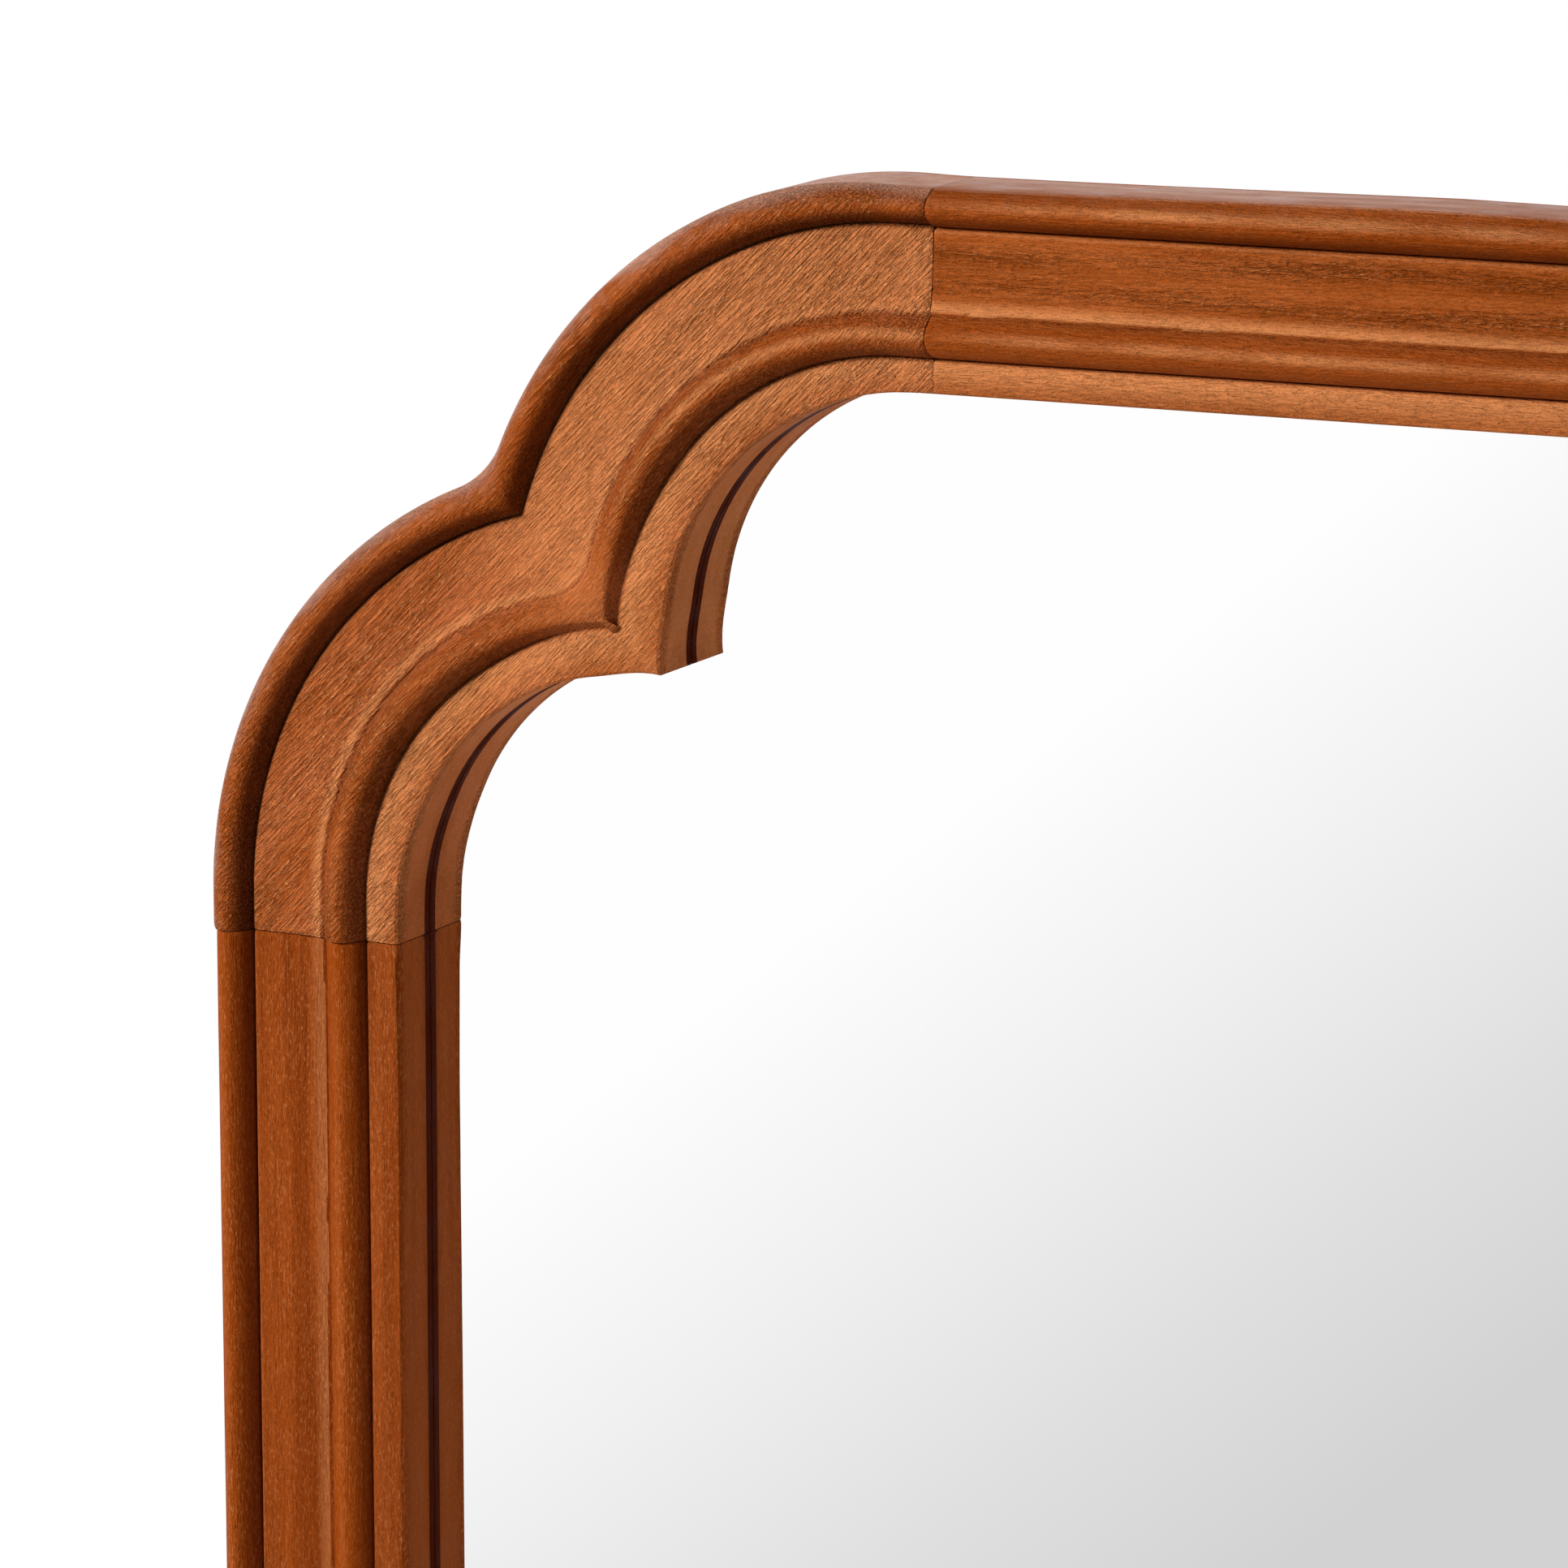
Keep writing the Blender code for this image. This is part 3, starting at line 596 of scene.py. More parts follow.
def carve_block(mesh, sizes, carving, seed):
    """Carve a corner block in corner space."""
    radius, far = lobe_places(sizes)
    across_values = mesh.attributes["across"].data
    straight = BLOCK_SIZE - far
    turns = {}
    for corner in mesh.vertices:
        x, depth, z = corner.co
        on_stile, down, round_across, angle, toward = lobe_point(sizes, x, z)
        deep = depth > sizes.quirk_depth
        across = round(round_across if deep else across_values[corner.index].value, 6)
        if deep:
            across_values[corner.index].value = across
        if across not in turns:
            turns[across] = notch_turn(sizes, min(across, FACE_WIDTH))
        own = radius - across
        if down > far:
            from_joint = BLOCK_SIZE - down
            from_notch = turns[across] * own + down - far
        else:
            from_joint = straight + angle * own
            from_notch = max(0.0, (turns[across] - angle) * own)
        inward, backward, aside = 0.0, 0.0, 0.0
        if not deep and across > 0.0:
            inward, backward = block_carving(
                sizes, carving, seed, across, depth, x, z, from_joint, from_notch, on_stile)
        if across > FACE_WIDTH - SIGHT_BAND or not deep:
            fillet = fillet_share(sizes, across)
            bulge = smooth_share(from_notch, *BULGE_FROM_NOTCH) * smooth_share(from_joint, *BULGE_FROM_JOINT)
            inward += carving.sight_bulge * fillet * bulge
            taper = taper_share(sizes, across) * fading_share(from_notch, *TAPER_REACH)
            inward -= carving.bead_taper * taper
            aside = carving.sight_inset * fillet
            if on_stile and not deep:
                lowered = 0.3 * fillet * fading_share(from_joint, *BLOCK_FILLET_REACH)
                backward += carving.flat_fillet * lowered
        if across < sizes.outer_bead_width and not on_stile:
            planed = fading_share(across, 0.0, sizes.outer_bead_width)
            inward += carving.planed * planed * fading_share(from_joint, 0.0, carving.planed_reach)
        move_near, move_down = toward[0] * inward, toward[1] * inward
        move_x, move_z = (move_near, -move_down) if on_stile else (move_down, -move_near)
        corner.co = (x + move_x + aside, max(depth + backward, -sizes.bead_rise), z + move_z)


def bar_mesh(sizes, length):
    """A plain rail or stile along +Z from the origin, with fine steps beside its joints."""
    bm, layer, edges = start_moulding(bar_outline(sizes), 0.0)
    end = FINE_STEP * FINE_END_STEPS
    for run, step in ((end, FINE_STEP), (length - 2 * end, BAR_STEP), (end, FINE_STEP)):
        edges = sweep(bm, layer, edges, round(run / step), move=(0, 0, run))
    close_ends(bm)
    return to_mesh(bm, "bar")


def bar_waves(sizes, seed, across, along):
    """Depth of the uneven planing along a bar."""
    waves = bead_share(sizes, across) * BAR_WAVE * wander(seed + 3, BAR_RIPPLE, along, across)
    return waves + PLANE_WAVE * wander(seed + 4, PLANE_RIPPLE, along, across)


def stile_carving(sizes, carving, seed, across, depth, along, from_joint):
    """Shifts of a point on a stile."""
    lip = field_place(sizes)[1]
    inner_start, inner_end = inner_bead_place(sizes)
    inward = carving.stile_inset * fading_share(across, 0.0, sizes.outer_bead_width)
    past_lip = smooth_share(across, lip - STILE_LIP_REACH, lip)
    inward += STILE_LIP_SHIFT * past_lip * fading_share(across, inner_start, inner_end)
    if depth > sizes.quirk_depth and across < FACE_WIDTH - WELD_DISTANCE:
        return inward, 0.0
    fillet = fillet_share(sizes, across)
    inward += carving.sight_inset * fillet * (1 - 0.25 * smooth_share(from_joint, *BAR_REACH))
    backward = 0.0
    if depth < sizes.quirk_depth:
        lowered = 0.3 + 0.5 * smooth_share(from_joint, *STILE_FILLET_REACH)
        backward += carving.flat_fillet * fillet * lowered
    if lip - carving.lip_sanding < across < inner_start + carving.lip_sanding / 2:
        backward -= depth if depth < 0.0 and across <= lip else max(0.0, depth)
    if across > 0.0:
        backward += joint_groove(carving, seed, across, from_joint)
        drop = carving.bead_drop if across < lip else carving.stile_bead_drop
        backward += bead_share(sizes, across) * drop
        if depth < sizes.quirk_depth:
            backward += bar_waves(sizes, seed, across, along)
    chamfer = carving.chamfer * fading_share(from_joint, 0.0, carving.chamfer_reach)
    chamfer *= smooth_share(from_joint, *CHAMFER_START)
    into = across - (FACE_WIDTH - chamfer * 0.8)
    if into > 0.0 and chamfer > 0.0:
        backward += max(0.0, into * 1.3 - max(0.0, depth - sizes.arris_ease))
    return inward, backward


def rail_carving(sizes, carving, seed, across, depth, along, from_joint):
    """Shifts of a point on a rail."""
    bead = sizes.outer_bead_width
    planed = fading_share(across, 0.0, bead)
    inward = carving.planed * planed * (1 - 0.8 * smooth_share(from_joint, *BAR_REACH))
    shift_start, shift_end = RAIL_SHIFT_END
    inward += RAIL_BEAD_SHIFT * (1 - planed) * fading_share(across, bead + shift_start, bead + shift_end)
    if across <= 0.0 or depth > sizes.quirk_depth:
        return inward, 0.0
    backward = joint_groove(carving, seed, across, from_joint)
    backward += bead_share(sizes, across) * carving.bead_drop / 2
    backward += bar_waves(sizes, seed, across, along)
    facet = FACET_WIDTH + FACET_GROWTH * smooth_share(from_joint, *FACET_REACH)
    if across < facet:
        straight = sizes.bead_foot - (sizes.bead_rise + sizes.bead_foot) * 0.9 * across / facet
        backward += max(0.0, straight - depth)
    return inward, backward


def carve_bar(mesh, sizes, carving, seed, length, carve):
    """Carve a rail or stile that lies along +Z from the origin."""
    across_values = mesh.attributes["across"].data
    for corner in mesh.vertices:
        x, depth, z = corner.co
        across = across_values[corner.index].value
        inward, backward = carve(sizes, carving, seed, across, depth, z, min(z, length - z))
        corner.co = (x + inward, max(depth + backward, -sizes.bead_rise), z)


# The finish: how polished, worn pale or painted with highlights, torn, darkened with painted shade and given
# a painted sheen each point of the wood is
SURFACE_LAYERS = ("polish", "wear_and_painted_light", "rough", "painted_shade", "painted_sheen")
HIDDEN_POLISH_SHARE = 0.4
HIDDEN_ROUGH_SHARE = 0.15

# How strongly each kind of piece is marked: shares, but for the widths of the painted shade's spill and the
# rim of painted sheen
BLOCK_MARKS = {
    "lip": 0.8, "crest": 0.18, "fillet": 0.85, "outer_flank": 0.66, "inner_flank": 0.30, "under_lip": 0.22,
    "shade_spill": 0.0009, "sanded": 0.60, "sight": 0.62, "rim": 0.0046, "uneven": 0.9, "beside_bead": 1.0,
    "sheen_patches": 0.26}
RAIL_MARKS = {
    "lip": 1.0, "crest": 1.0, "fillet": 1.0, "outer_flank": 0.42, "inner_flank": 0.05, "under_lip": 0.25,
    "shade_spill": 0.0001, "sanded": 0.0, "sight": 0.30, "rim": 0.0007, "uneven": 0.1, "beside_bead": 0.5,
    "sheen_patches": 0.05}
STILE_MARKS = {
    "lip": 0.35, "crest": 0.12, "fillet": 0.05, "outer_flank": 0.12, "inner_flank": 0.0, "under_lip": 0.0,
    "shade_spill": 0.0001, "sanded": 0.0, "sight": 0.25, "rim": 0.0010, "uneven": 0.3, "beside_bead": 0.7,
    "sheen_patches": 0.0}

# Sizes of the ripples in the marks
BLOCK_TORN_RIPPLE = (0.045, 0.016)
RAIL_TORN_RIPPLE = (0.045, 0.008)
STILE_TORN_RIPPLE = (0.05, 0.008)
RAIL_BAND_RIPPLE = (0.06,)
CREST_RIPPLE = (0.022, 0.022)
RIM_RIPPLE = (0.018, 0.018)
SHEEN_PATCH_RIPPLE = (0.005, 0.005)

# Reaches over which the marks change, from an edge, a joint or the diagonal
FRONT_MARGIN = 0.001
SMOOTH_NOTCH_REACH = (0.012, 0.05)
CREST_REACH = (0.0, 0.0026)
UNDER_LIP_REACH = (0.0003, 0.0018)
UNDER_LIP_START = (0.020, 0.080)
INNER_SHADE_START = (0.0, 0.030)
SHORE_REACH = (-0.0005, 0.0003)
RIM_START = 0.0002
SHEEN_DEPTH_START = (0.003, 0.018)
SHEEN_PATCH_REACH = (0.0025, 0.0075)
BAR_CREST_START = (-0.01, 0.045)
SANDED_BEAD_START = (0.02, 0.09)
SANDED_NOTCH_REACH = (0.0, 0.035)
SANDED_FIELD_START = (-0.05, 0.01)
LIP_WEAR_START = (0.005, 0.0008)
SHOULDER_WEAR_REACH = (0.0, 0.0009)
SIGHT_LIGHT_REACH = (0.05, 0.13)

# Shares of the noise between which the painted sheen on the outer bead starts to lie in patches and lies
# full
SHEEN_PATCH_SHARES = (-0.35, 0.45)


def block_roughness(sizes, seed, across, x, z):
    """How torn the surface of a corner block is."""
    patch = 0.95 + 0.8 * wander(seed + 30, BLOCK_TORN_RIPPLE, x + z, x - z)
    smooth = 0.6 + 0.4 * smooth_share(abs(x + z) / math.sqrt(2), *SMOOTH_NOTCH_REACH)
    return (1 - 0.25 * bead_share(sizes, across)) * smooth * min(1.0, max(0.5, patch))


def rail_roughness(sizes, seed, across, x, z):
    """How torn the surface of a rail is: in bands beside both edges of the field."""
    field_start, lip = field_place(sizes)
    place = (across - field_start) / (lip - field_start)
    if not 0.0 <= place <= 1.0:
        return 0.2
    waver = 0.07 * wander(seed + 30, RAIL_BAND_RIPPLE, z)
    upper = math.exp(-((place - 0.24 - waver) / 0.15) ** 2)
    lower = math.exp(-((place - 0.72 + waver) / 0.13) ** 2)
    strength = 0.48 + 0.35 * wander(seed + 31, RAIL_TORN_RIPPLE, z, across)
    return max(0.35, upper, lower) * min(0.62, max(0.25, strength))


def stile_roughness(sizes, seed, across, x, z):
    """How torn the surface of a stile is."""
    return 0.30 + 0.2 * wander(seed + 30, STILE_TORN_RIPPLE, z, across)


def crest_share(sizes, across):
    """1 along the line on each bead's crest where a highlight is painted, and 0 a few millimetres from it.
    """
    outer_line = sizes.outer_bead_width * 0.36
    inner_line = inner_bead_place(sizes)[0] + sizes.inner_bead_width * 0.40
    return fading_share(min(abs(across - outer_line), abs(across - inner_line)), *CREST_REACH)


def painted_shade_share(sizes, across, from_diagonal, marks):
    """How much painted shade lies: in the quirks, up the beads' inner flanks and under the lip."""
    inner_start, inner_end = inner_bead_place(sizes)
    share = marks["under_lip"] * fading_share(abs(across - inner_start), *UNDER_LIP_REACH)
    share *= smooth_share(from_diagonal, *UNDER_LIP_START)
    inner_strength = marks["inner_flank"] * smooth_share(from_diagonal, *INNER_SHADE_START)
    beads = ((0.0, sizes.outer_bead_width, marks["outer_flank"]), (inner_start, inner_end, inner_strength))
    for start, end, strength in beads:
        shore = end + sizes.quirk_width + marks["shade_spill"]
        flank = smooth_share(across, start + (end - start) * 0.58, end - (end - start) * 0.08)
        share = max(share, strength * flank * fading_share(across - shore, *SHORE_REACH))
    return share


def painted_sheen_share(sizes, seed, marks, across, x, depth, z):
    """How much painted sheen lies on the outer face and its rim, and in patches on the outer bead."""
    if depth > sizes.frame_depth - WELD_DISTANCE:
        return 0.0
    rim = marks["rim"] * (1 + marks["uneven"] * wander(seed + 43, RIM_RIPPLE, x, z))
    shaded = (1 - marks["beside_bead"]) * smooth_share(depth, *SHEEN_DEPTH_START)
    painted_sheen = fading_share(across, RIM_START, rim) * (marks["beside_bead"] + shaded)
    # Patches of painted sheen on the outer bead.
    if depth < sizes.bead_foot and across < sizes.outer_bead_width:
        sheen_patch = smooth_share(wander(seed + 47, SHEEN_PATCH_RIPPLE, x, z), *SHEEN_PATCH_SHARES)
        painted_sheen = max(painted_sheen, marks["sheen_patches"] * sheen_patch * fading_share(across, *SHEEN_PATCH_REACH))
    return painted_sheen


def bead_painted_highlight_and_wear(sizes, seed, marks, across, x, z, length):
    """How pale a bead is: a painted highlight along its crest, and sanding on a block's inner bead."""
    crest = crest_share(sizes, across)
    patch = 0.75 + 0.6 * wander(seed + 41, CREST_RIPPLE, x, z)
    # The painted highlight along the crest, in patches.
    wear_and_painted_light = marks["crest"] * crest * min(1.0, max(0.1, patch))
    if length > 0.0:
        wear_and_painted_light *= smooth_share(min(z, length - z), *BAR_CREST_START)
    if across > field_place(sizes)[1]:
        wear_and_painted_light += marks["sanded"] * crest * smooth_share(x + z, *SANDED_BEAD_START)
        wear_and_painted_light += marks["sanded"] * 0.45 * fading_share(abs(x + z), *SANDED_NOTCH_REACH)
    return wear_and_painted_light


def front_wear_and_painted_light(sizes, seed, marks, across, x, z, length):
    """How pale a point on the front is: sanded or worn, and a painted highlight on a bead's crest."""
    field_start, lip = field_place(sizes)
    if bead_share(sizes, across) > 0.0:
        return bead_painted_highlight_and_wear(sizes, seed, marks, across, x, z, length)
    if across > inner_bead_place(sizes)[1]:
        fillet = fillet_share(sizes, across)
        thinned = 1 - 0.75 * smooth_share(fillet, 0.2, 1.0)
        return marks["fillet"] * smooth_share(fillet, 0.0, 0.15) * thinned
    wear_and_painted_light = marks["sanded"] * smooth_share(x + z, *SANDED_FIELD_START)
    if sizes.outer_bead_width < across <= lip:
        start, end = LIP_WEAR_START
        wear_and_painted_light = max(wear_and_painted_light, marks["lip"] * smooth_share(across, lip - start, lip - end))
        shoulder = abs(across - field_start - sizes.shoulder_width)
        wear_and_painted_light = max(wear_and_painted_light, 0.4 * marks["lip"] * fading_share(shoulder, *SHOULDER_WEAR_REACH))
    return wear_and_painted_light


def finish_wood(mesh, sizes, seed, roughness, marks, length=0.0):
    """Note the finish of each point in the mesh's layers, then smooth the shading."""
    for name in SURFACE_LAYERS:
        mesh.attributes.new(name, "FLOAT", "POINT")
    across_values = mesh.attributes["across"].data
    layers = [mesh.attributes[name].data for name in SURFACE_LAYERS]
    for corner in mesh.vertices:
        across = across_values[corner.index].value
        x, depth, z = corner.co
        polish, wear_and_painted_light, rough, painted_shade = HIDDEN_POLISH_SHARE, 0.0, HIDDEN_ROUGH_SHARE, 0.0
        if across > 0.0 and depth < sizes.quirk_depth + FRONT_MARGIN:
            polish = min(1.0, 1.5 * bead_share(sizes, across))
            wear_and_painted_light = front_wear_and_painted_light(sizes, seed, marks, across, x, z, length)
            rough = roughness(sizes, seed, across, x, z)
            # Painted shade in the quirks, up the beads' inner flanks and under the lip.
            painted_shade = painted_shade_share(sizes, across, abs(x + z), marks)
        # The sight face gets painted light, stronger near the corner's diagonal, and behind the shoulder a
        # dark strip of painted shade in place of the shaded gap before the silver.
        elif across > FACE_WIDTH - SIGHT_BAND:
            wear_and_painted_light = marks["sight"] * (1 - 0.6 * smooth_share(abs(x + z), *SIGHT_LIGHT_REACH))
            painted_shade = 1.0 if depth > sizes.shoulder_depth + WELD_DISTANCE else 0.0
        painted_sheen = painted_sheen_share(sizes, seed, marks, across, x, depth, z)
        for layer, share in zip(layers, (polish, wear_and_painted_light, rough, painted_shade, painted_sheen)):
            layer[corner.index].value = share
    mesh.shade_smooth()
    mesh.set_sharp_from_angle(angle=SMOOTH_ANGLE)


def place_wood(mesh, sizes, side, end):
    """Move a mesh from corner space to its corner, mirrored where the corner is."""
    place = Matrix.Translation((side * OVERALL_WIDTH / 2, arris_plane(sizes), end * OVERALL_HEIGHT / 2))
    turn = Matrix.Diagonal((-side, 1, end, 1))
    mesh.transform(place @ turn)
    if side * end > 0:
        mesh.flip_normals()


# The fixings: width, blade thickness and depth of each kind of screw's cross recess
BRASS_RECESS = (0.0034, 0.0008, 0.0008)
STEEL_RECESS = (0.0038, 0.0009, 0.0010)
RECESS_TIP_SHARE = 0.35
SCREW_TURN = math.radians(37)


def welded_node(name):
    """A bmesh of one of the frame's nodes, with its doubled corners welded."""
    bm = bmesh.new()
    bm.from_mesh(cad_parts[name].data)
    bmesh.ops.remove_doubles(bm, verts=bm.verts, dist=WELD_DISTANCE)
    return bm


def crosshead_screw(name, number, recess_width, blade, recess_depth):
    """A node's screw with a cross recess in its head, which faces the wall, turned by its number."""
    low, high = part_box(name)
    middle = (low + high) / 2
    mesh = to_mesh(welded_node(name), "screw")
    for width, thickness in ((recess_width, blade), (blade, recess_width)):
        bm = bmesh.new()
        bmesh.ops.create_cube(bm, size=1.0)
        bmesh.ops.scale(bm, verts=bm.verts, vec=(width, recess_depth * 2, thickness))
        tip = [corner for corner in bm.verts if corner.co.y < 0]
        bmesh.ops.scale(bm, verts=tip, vec=(RECESS_TIP_SHARE, 1, RECESS_TIP_SHARE))
        bmesh.ops.translate(bm, verts=bm.verts, vec=(middle.x, high.y, middle.z))
        mesh = cut_mesh(mesh, to_mesh(bm, "recess"))
    turn = Matrix.Rotation(SCREW_TURN * number, 4, "Y")
    mesh.transform(Matrix.Translation(middle) @ turn @ Matrix.Translation(-middle))
    return mesh


# Materials
def linear(code):
    """An sRGB hex colour as linear RGBA."""
    channels = []
    for start in (1, 3, 5):
        value = int(code[start:start + 2], 16) / 255
        channels.append(value / 12.92 if value <= 0.04045 else ((value + 0.055) / 1.055) ** 2.4)
    return (*channels, 1.0)


def add_node(tree, kind, inputs=(), output=0, **settings):
    """Add a node with its settings, fill or link its inputs, and return one of its outputs."""
    node = tree.nodes.new("ShaderNode" + kind)
    for key, value in settings.items():
        setattr(node, key, value)
    for key, value in inputs.items() if isinstance(inputs, dict) else enumerate(inputs):
        if isinstance(value, bpy.types.NodeSocket):
            tree.links.new(value, node.inputs[key])
        else:
            node.inputs[key].default_value = value
    return node.outputs[output] if node.outputs else None


def new_material(name):
    """An empty material, and the function that adds nodes to it."""
    material = bpy.data.materials.new(name)
    material.use_nodes = True
    material.node_tree.nodes.clear()
    return material, partial(add_node, material.node_tree)


def set_stops(node, stops):
    """Set a colour ramp's stops from (position, hex colour) pairs."""
    ramp = node.color_ramp
    while len(ramp.elements) > 1:
        ramp.elements.remove(ramp.elements[-1])
    ramp.elements[0].position = stops[0][0]
    ramp.elements[0].color = linear(stops[0][1])
    for position, code in stops[1:]:
        ramp.elements.new(position).color = linear(code)


class MirrorFinish(PropertyGroup):
    """Colours of the wood, as sRGB hex codes."""

    block_dark: colour_setting("Block, dark", "Dark bands of the corner blocks", "#9E4C1A")
    block_light: colour_setting("Block, light", "Light bands of the corner blocks", "#C0683A")
    rail_dark: colour_setting("Rail, dark", "Dark bands of the rails", "#8C3F0D")
    rail_light: colour_setting("Rail, light", "Light bands of the rails", "#AE5A27")
    stile_dark: colour_setting("Stile, dark", "Dark bands of the stiles", "#783107")
    stile_light: colour_setting("Stile, light", "Light bands of the stiles", "#924213")
    oiled: colour_setting("Oiled bead", "Where oil and rubbing darkened a bead", "#94400A")
    # Pale wood also serves as painted highlights on the bead crests and the torn ridges' tops and flecks,
    # and as painted light on the sight faces.
    pale: colour_setting("Pale wood", "Sanded edges and torn grain", "#E8985E")
    # The pore colour also paints shade into the torn ridges' hollows.
    pore: colour_setting("Pores", "Pores and hollows of the grain", "#6C2D0C")
    # This colour is painted shade in the quirks, up the beads' inner flanks, under the lip and on a strip at
    # the back of the sight face.
    painted_shade_colour: colour_setting("Dark oil", "Old oil and wax in the quirks", "#4A1602")
    # This colour is a painted sheen on the outer faces and in patches on the outer bead.
    painted_sheen: colour_setting("Faded wood", "Outer faces bleached by light", "#D3AE9B")


# Lengths and widths of the wood's features, and the height of its relief. Real pores and ridges are 0.1 to
# 0.4 mm wide. They are drawn 0.7 to 2 mm wide to show in the picture.
FIGURE_LENGTH = 0.30
STREAK = (0.040, 0.0016)
PORE = (0.0050, 0.0007)
FLECK = (0.0036, 0.0010)
DRIFT = (0.05, 0.006)
DULL_PATCH = (0.030, 0.012)
FIBRE_WIDTH = 0.0012
CUT_WIDTH = 0.0021
COMB_SPACING = 0.0014
SPECK = 0.0005
RELIEF_HEIGHT = 0.00065

# Each kind of piece: the width of its figure, the length of its ridges, and how strong they are
BLOCK_WOOD = (0.030, 0.015, 2.1)
RAIL_WOOD = (0.016, 0.010, 2.9)
STILE_WOOD = (0.012, 0.012, 0.6)


def hardwood(name, dark, light, finish, grain, figure_width, ridge_length, ridge_relief):
    """Oiled mahogany-like hardwood, sawn, carved and sanded."""
    # The eye gets warm bands of figure, dark pores, short torn ridges on the carved flats whose tops and
    # flecks are painted pale as painted highlights and whose hollows are darkened as painted shade, a
    # painted highlight along each bead's crest, painted shade in the quirks and a weak satin sheen. The
    # outer faces and patches on the outer bead carry a painted sheen, and the outer faces also give back
    # more light.
    material, add = new_material(name)
    place = add("TexCoord", output="Object")
    polish, wear_and_painted_light, rough, painted_shade, painted_sheen = (
        add("Attribute", output="Fac", attribute_name=layer) for layer in SURFACE_LAYERS)

    def grain_noise(length, width, detail, roughness=0.5):
        """Noise whose features have this length and width along the grain."""
        size = (length / 2, width / 2, width / 2)
        drawn_out = add(
            "Mapping", {"Vector": place, "Rotation": (0, grain, 0), "Scale": size}, vector_type="TEXTURE")
        noise_inputs = {"Vector": drawn_out, "Scale": 1.0, "Detail": detail, "Roughness": roughness}
        return add("TexNoise", noise_inputs, "Fac")

    def weigh(layers, total=0.0):
        """Add up layers by their weights."""
        for source, weight in layers:
            total = add("Math", (source, weight, total), operation="MULTIPLY_ADD")
        return total

    # Figure, pores and specks
    streaks = grain_noise(*STREAK, 3.0, 0.6)
    bands = add("MapRange", (grain_noise(FIGURE_LENGTH, figure_width, 4.0), 0.36, 0.64, 0.0, 0.65))
    bands = add("Math", (bands, add("MapRange", (streaks, 0.35, 0.65, 0.0, 0.35))), operation="ADD")
    pores = add("MapRange", (grain_noise(*PORE, 1.0), 0.60, 0.72))
    specks = add("TexNoise", {"Vector": place, "Scale": 1 / SPECK, "Detail": 2.0, "Roughness": 0.6}, "Fac")

    # Torn ridges: fibres, a wavering comb, flecks and the cuts between them
    fibres = add("MapRange", (grain_noise(ridge_length, FIBRE_WIDTH, 2.0), 0.36, 0.64))
    flecks = add("MapRange", (grain_noise(*FLECK, 1.0), 0.56, 0.66))
    turned = add("Mapping", {"Vector": place, "Rotation": (0, grain, 0)}, vector_type="TEXTURE")
    drift = add("Math", (grain_noise(*DRIFT, 1.0), 9.0), operation="MULTIPLY")
    phase = weigh(((add("SeparateXYZ", (turned,), "Z"), math.tau / COMB_SPACING),), drift)
    comb = add("MapRange", (add("Math", (phase,), operation="SINE"), -1.0, 1.0, 0.0, 0.20))
    contour = add("Math", (grain_noise(ridge_length * 1.8, CUT_WIDTH, 2.0), -0.5), operation="ADD")
    cuts = add("MapRange", (add("Math", (contour,), operation="ABSOLUTE"), 0.050, 0.012))
    ridges = weigh(((fibres, 0.45), (flecks, 0.35), (cuts, -0.45)), comb)
    # Besides the bump, the ridges' tops and flecks are painted paler as painted highlights, and their
    # hollows darker as painted shade.
    torn = add("Math", (ridges, rough), operation="MULTIPLY")
    painted_fleck_glints = add("Math", (flecks, rough), operation="MULTIPLY")
    hollow = add("Math", (cuts, add("MapRange", (ridges, 0.20, -0.10))), operation="MAXIMUM")
    painted_hollow_shade = add("Math", (hollow, rough), operation="MULTIPLY")

    # Colours laid over each other
    # Painted sheen on the outer faces.
    painted_sheen_part = add("Math", (painted_sheen, add("MapRange", (bands, 0.15, 0.85, 0.22, 0.42))), operation="MULTIPLY")
    colour = add("ValToRGB", (bands,))
    set_stops(colour.node, ((0.15, dark), (0.85, light)))
    # Pale adds sanding and painted highlights, the pore colour adds pores and painted shade, then come the
    # painted sheen and the painted shade.
    for share, code in (
            (weigh(((polish, 0.72),)), finish.oiled),
            (weigh(((torn, 0.22), (wear_and_painted_light, 0.62), (painted_fleck_glints, 0.44))), finish.pale),
            (weigh(((pores, 0.22), (painted_hollow_shade, 0.22))), finish.pore),
            (painted_sheen_part, finish.painted_sheen),
            (painted_shade, finish.painted_shade_colour)):
        colour = add("Mix", {0: share, 6: colour, 7: linear(code)}, 2, data_type="RGBA")
    value = add("MapRange", (specks, 0.3, 0.7, 0.86, 1.14))
    colour = add("HueSaturation", {"Color": colour, "Value": value})

    # Relief and sheen
    height = weigh(((torn, ridge_relief), (streaks, 0.30), (specks, 0.35), (pores, -0.25)))
    bump = add("Bump", {"Strength": 1.0, "Distance": RELIEF_HEIGHT, "Height": height})
    dulled = add("MapRange", (grain_noise(*DULL_PATCH, 2.0), 0.35, 0.65, -0.08, 0.14))
    # Under the painted sheen the outer faces are also smoother and reflect more.
    shader = add("BsdfPrincipled", {
        "Base Color": colour,
        "Roughness": weigh(((polish, -0.20), (dulled, 1.0), (painted_sheen, -0.14)), 0.60),
        "IOR": 1.5,
        "Specular IOR Level": weigh(((painted_sheen, 0.45),), 0.012),
        "Specular Tint": linear("#FFC890"),
        "Normal": bump,
    })
    add("OutputMaterial", {"Surface": shader})
    return material


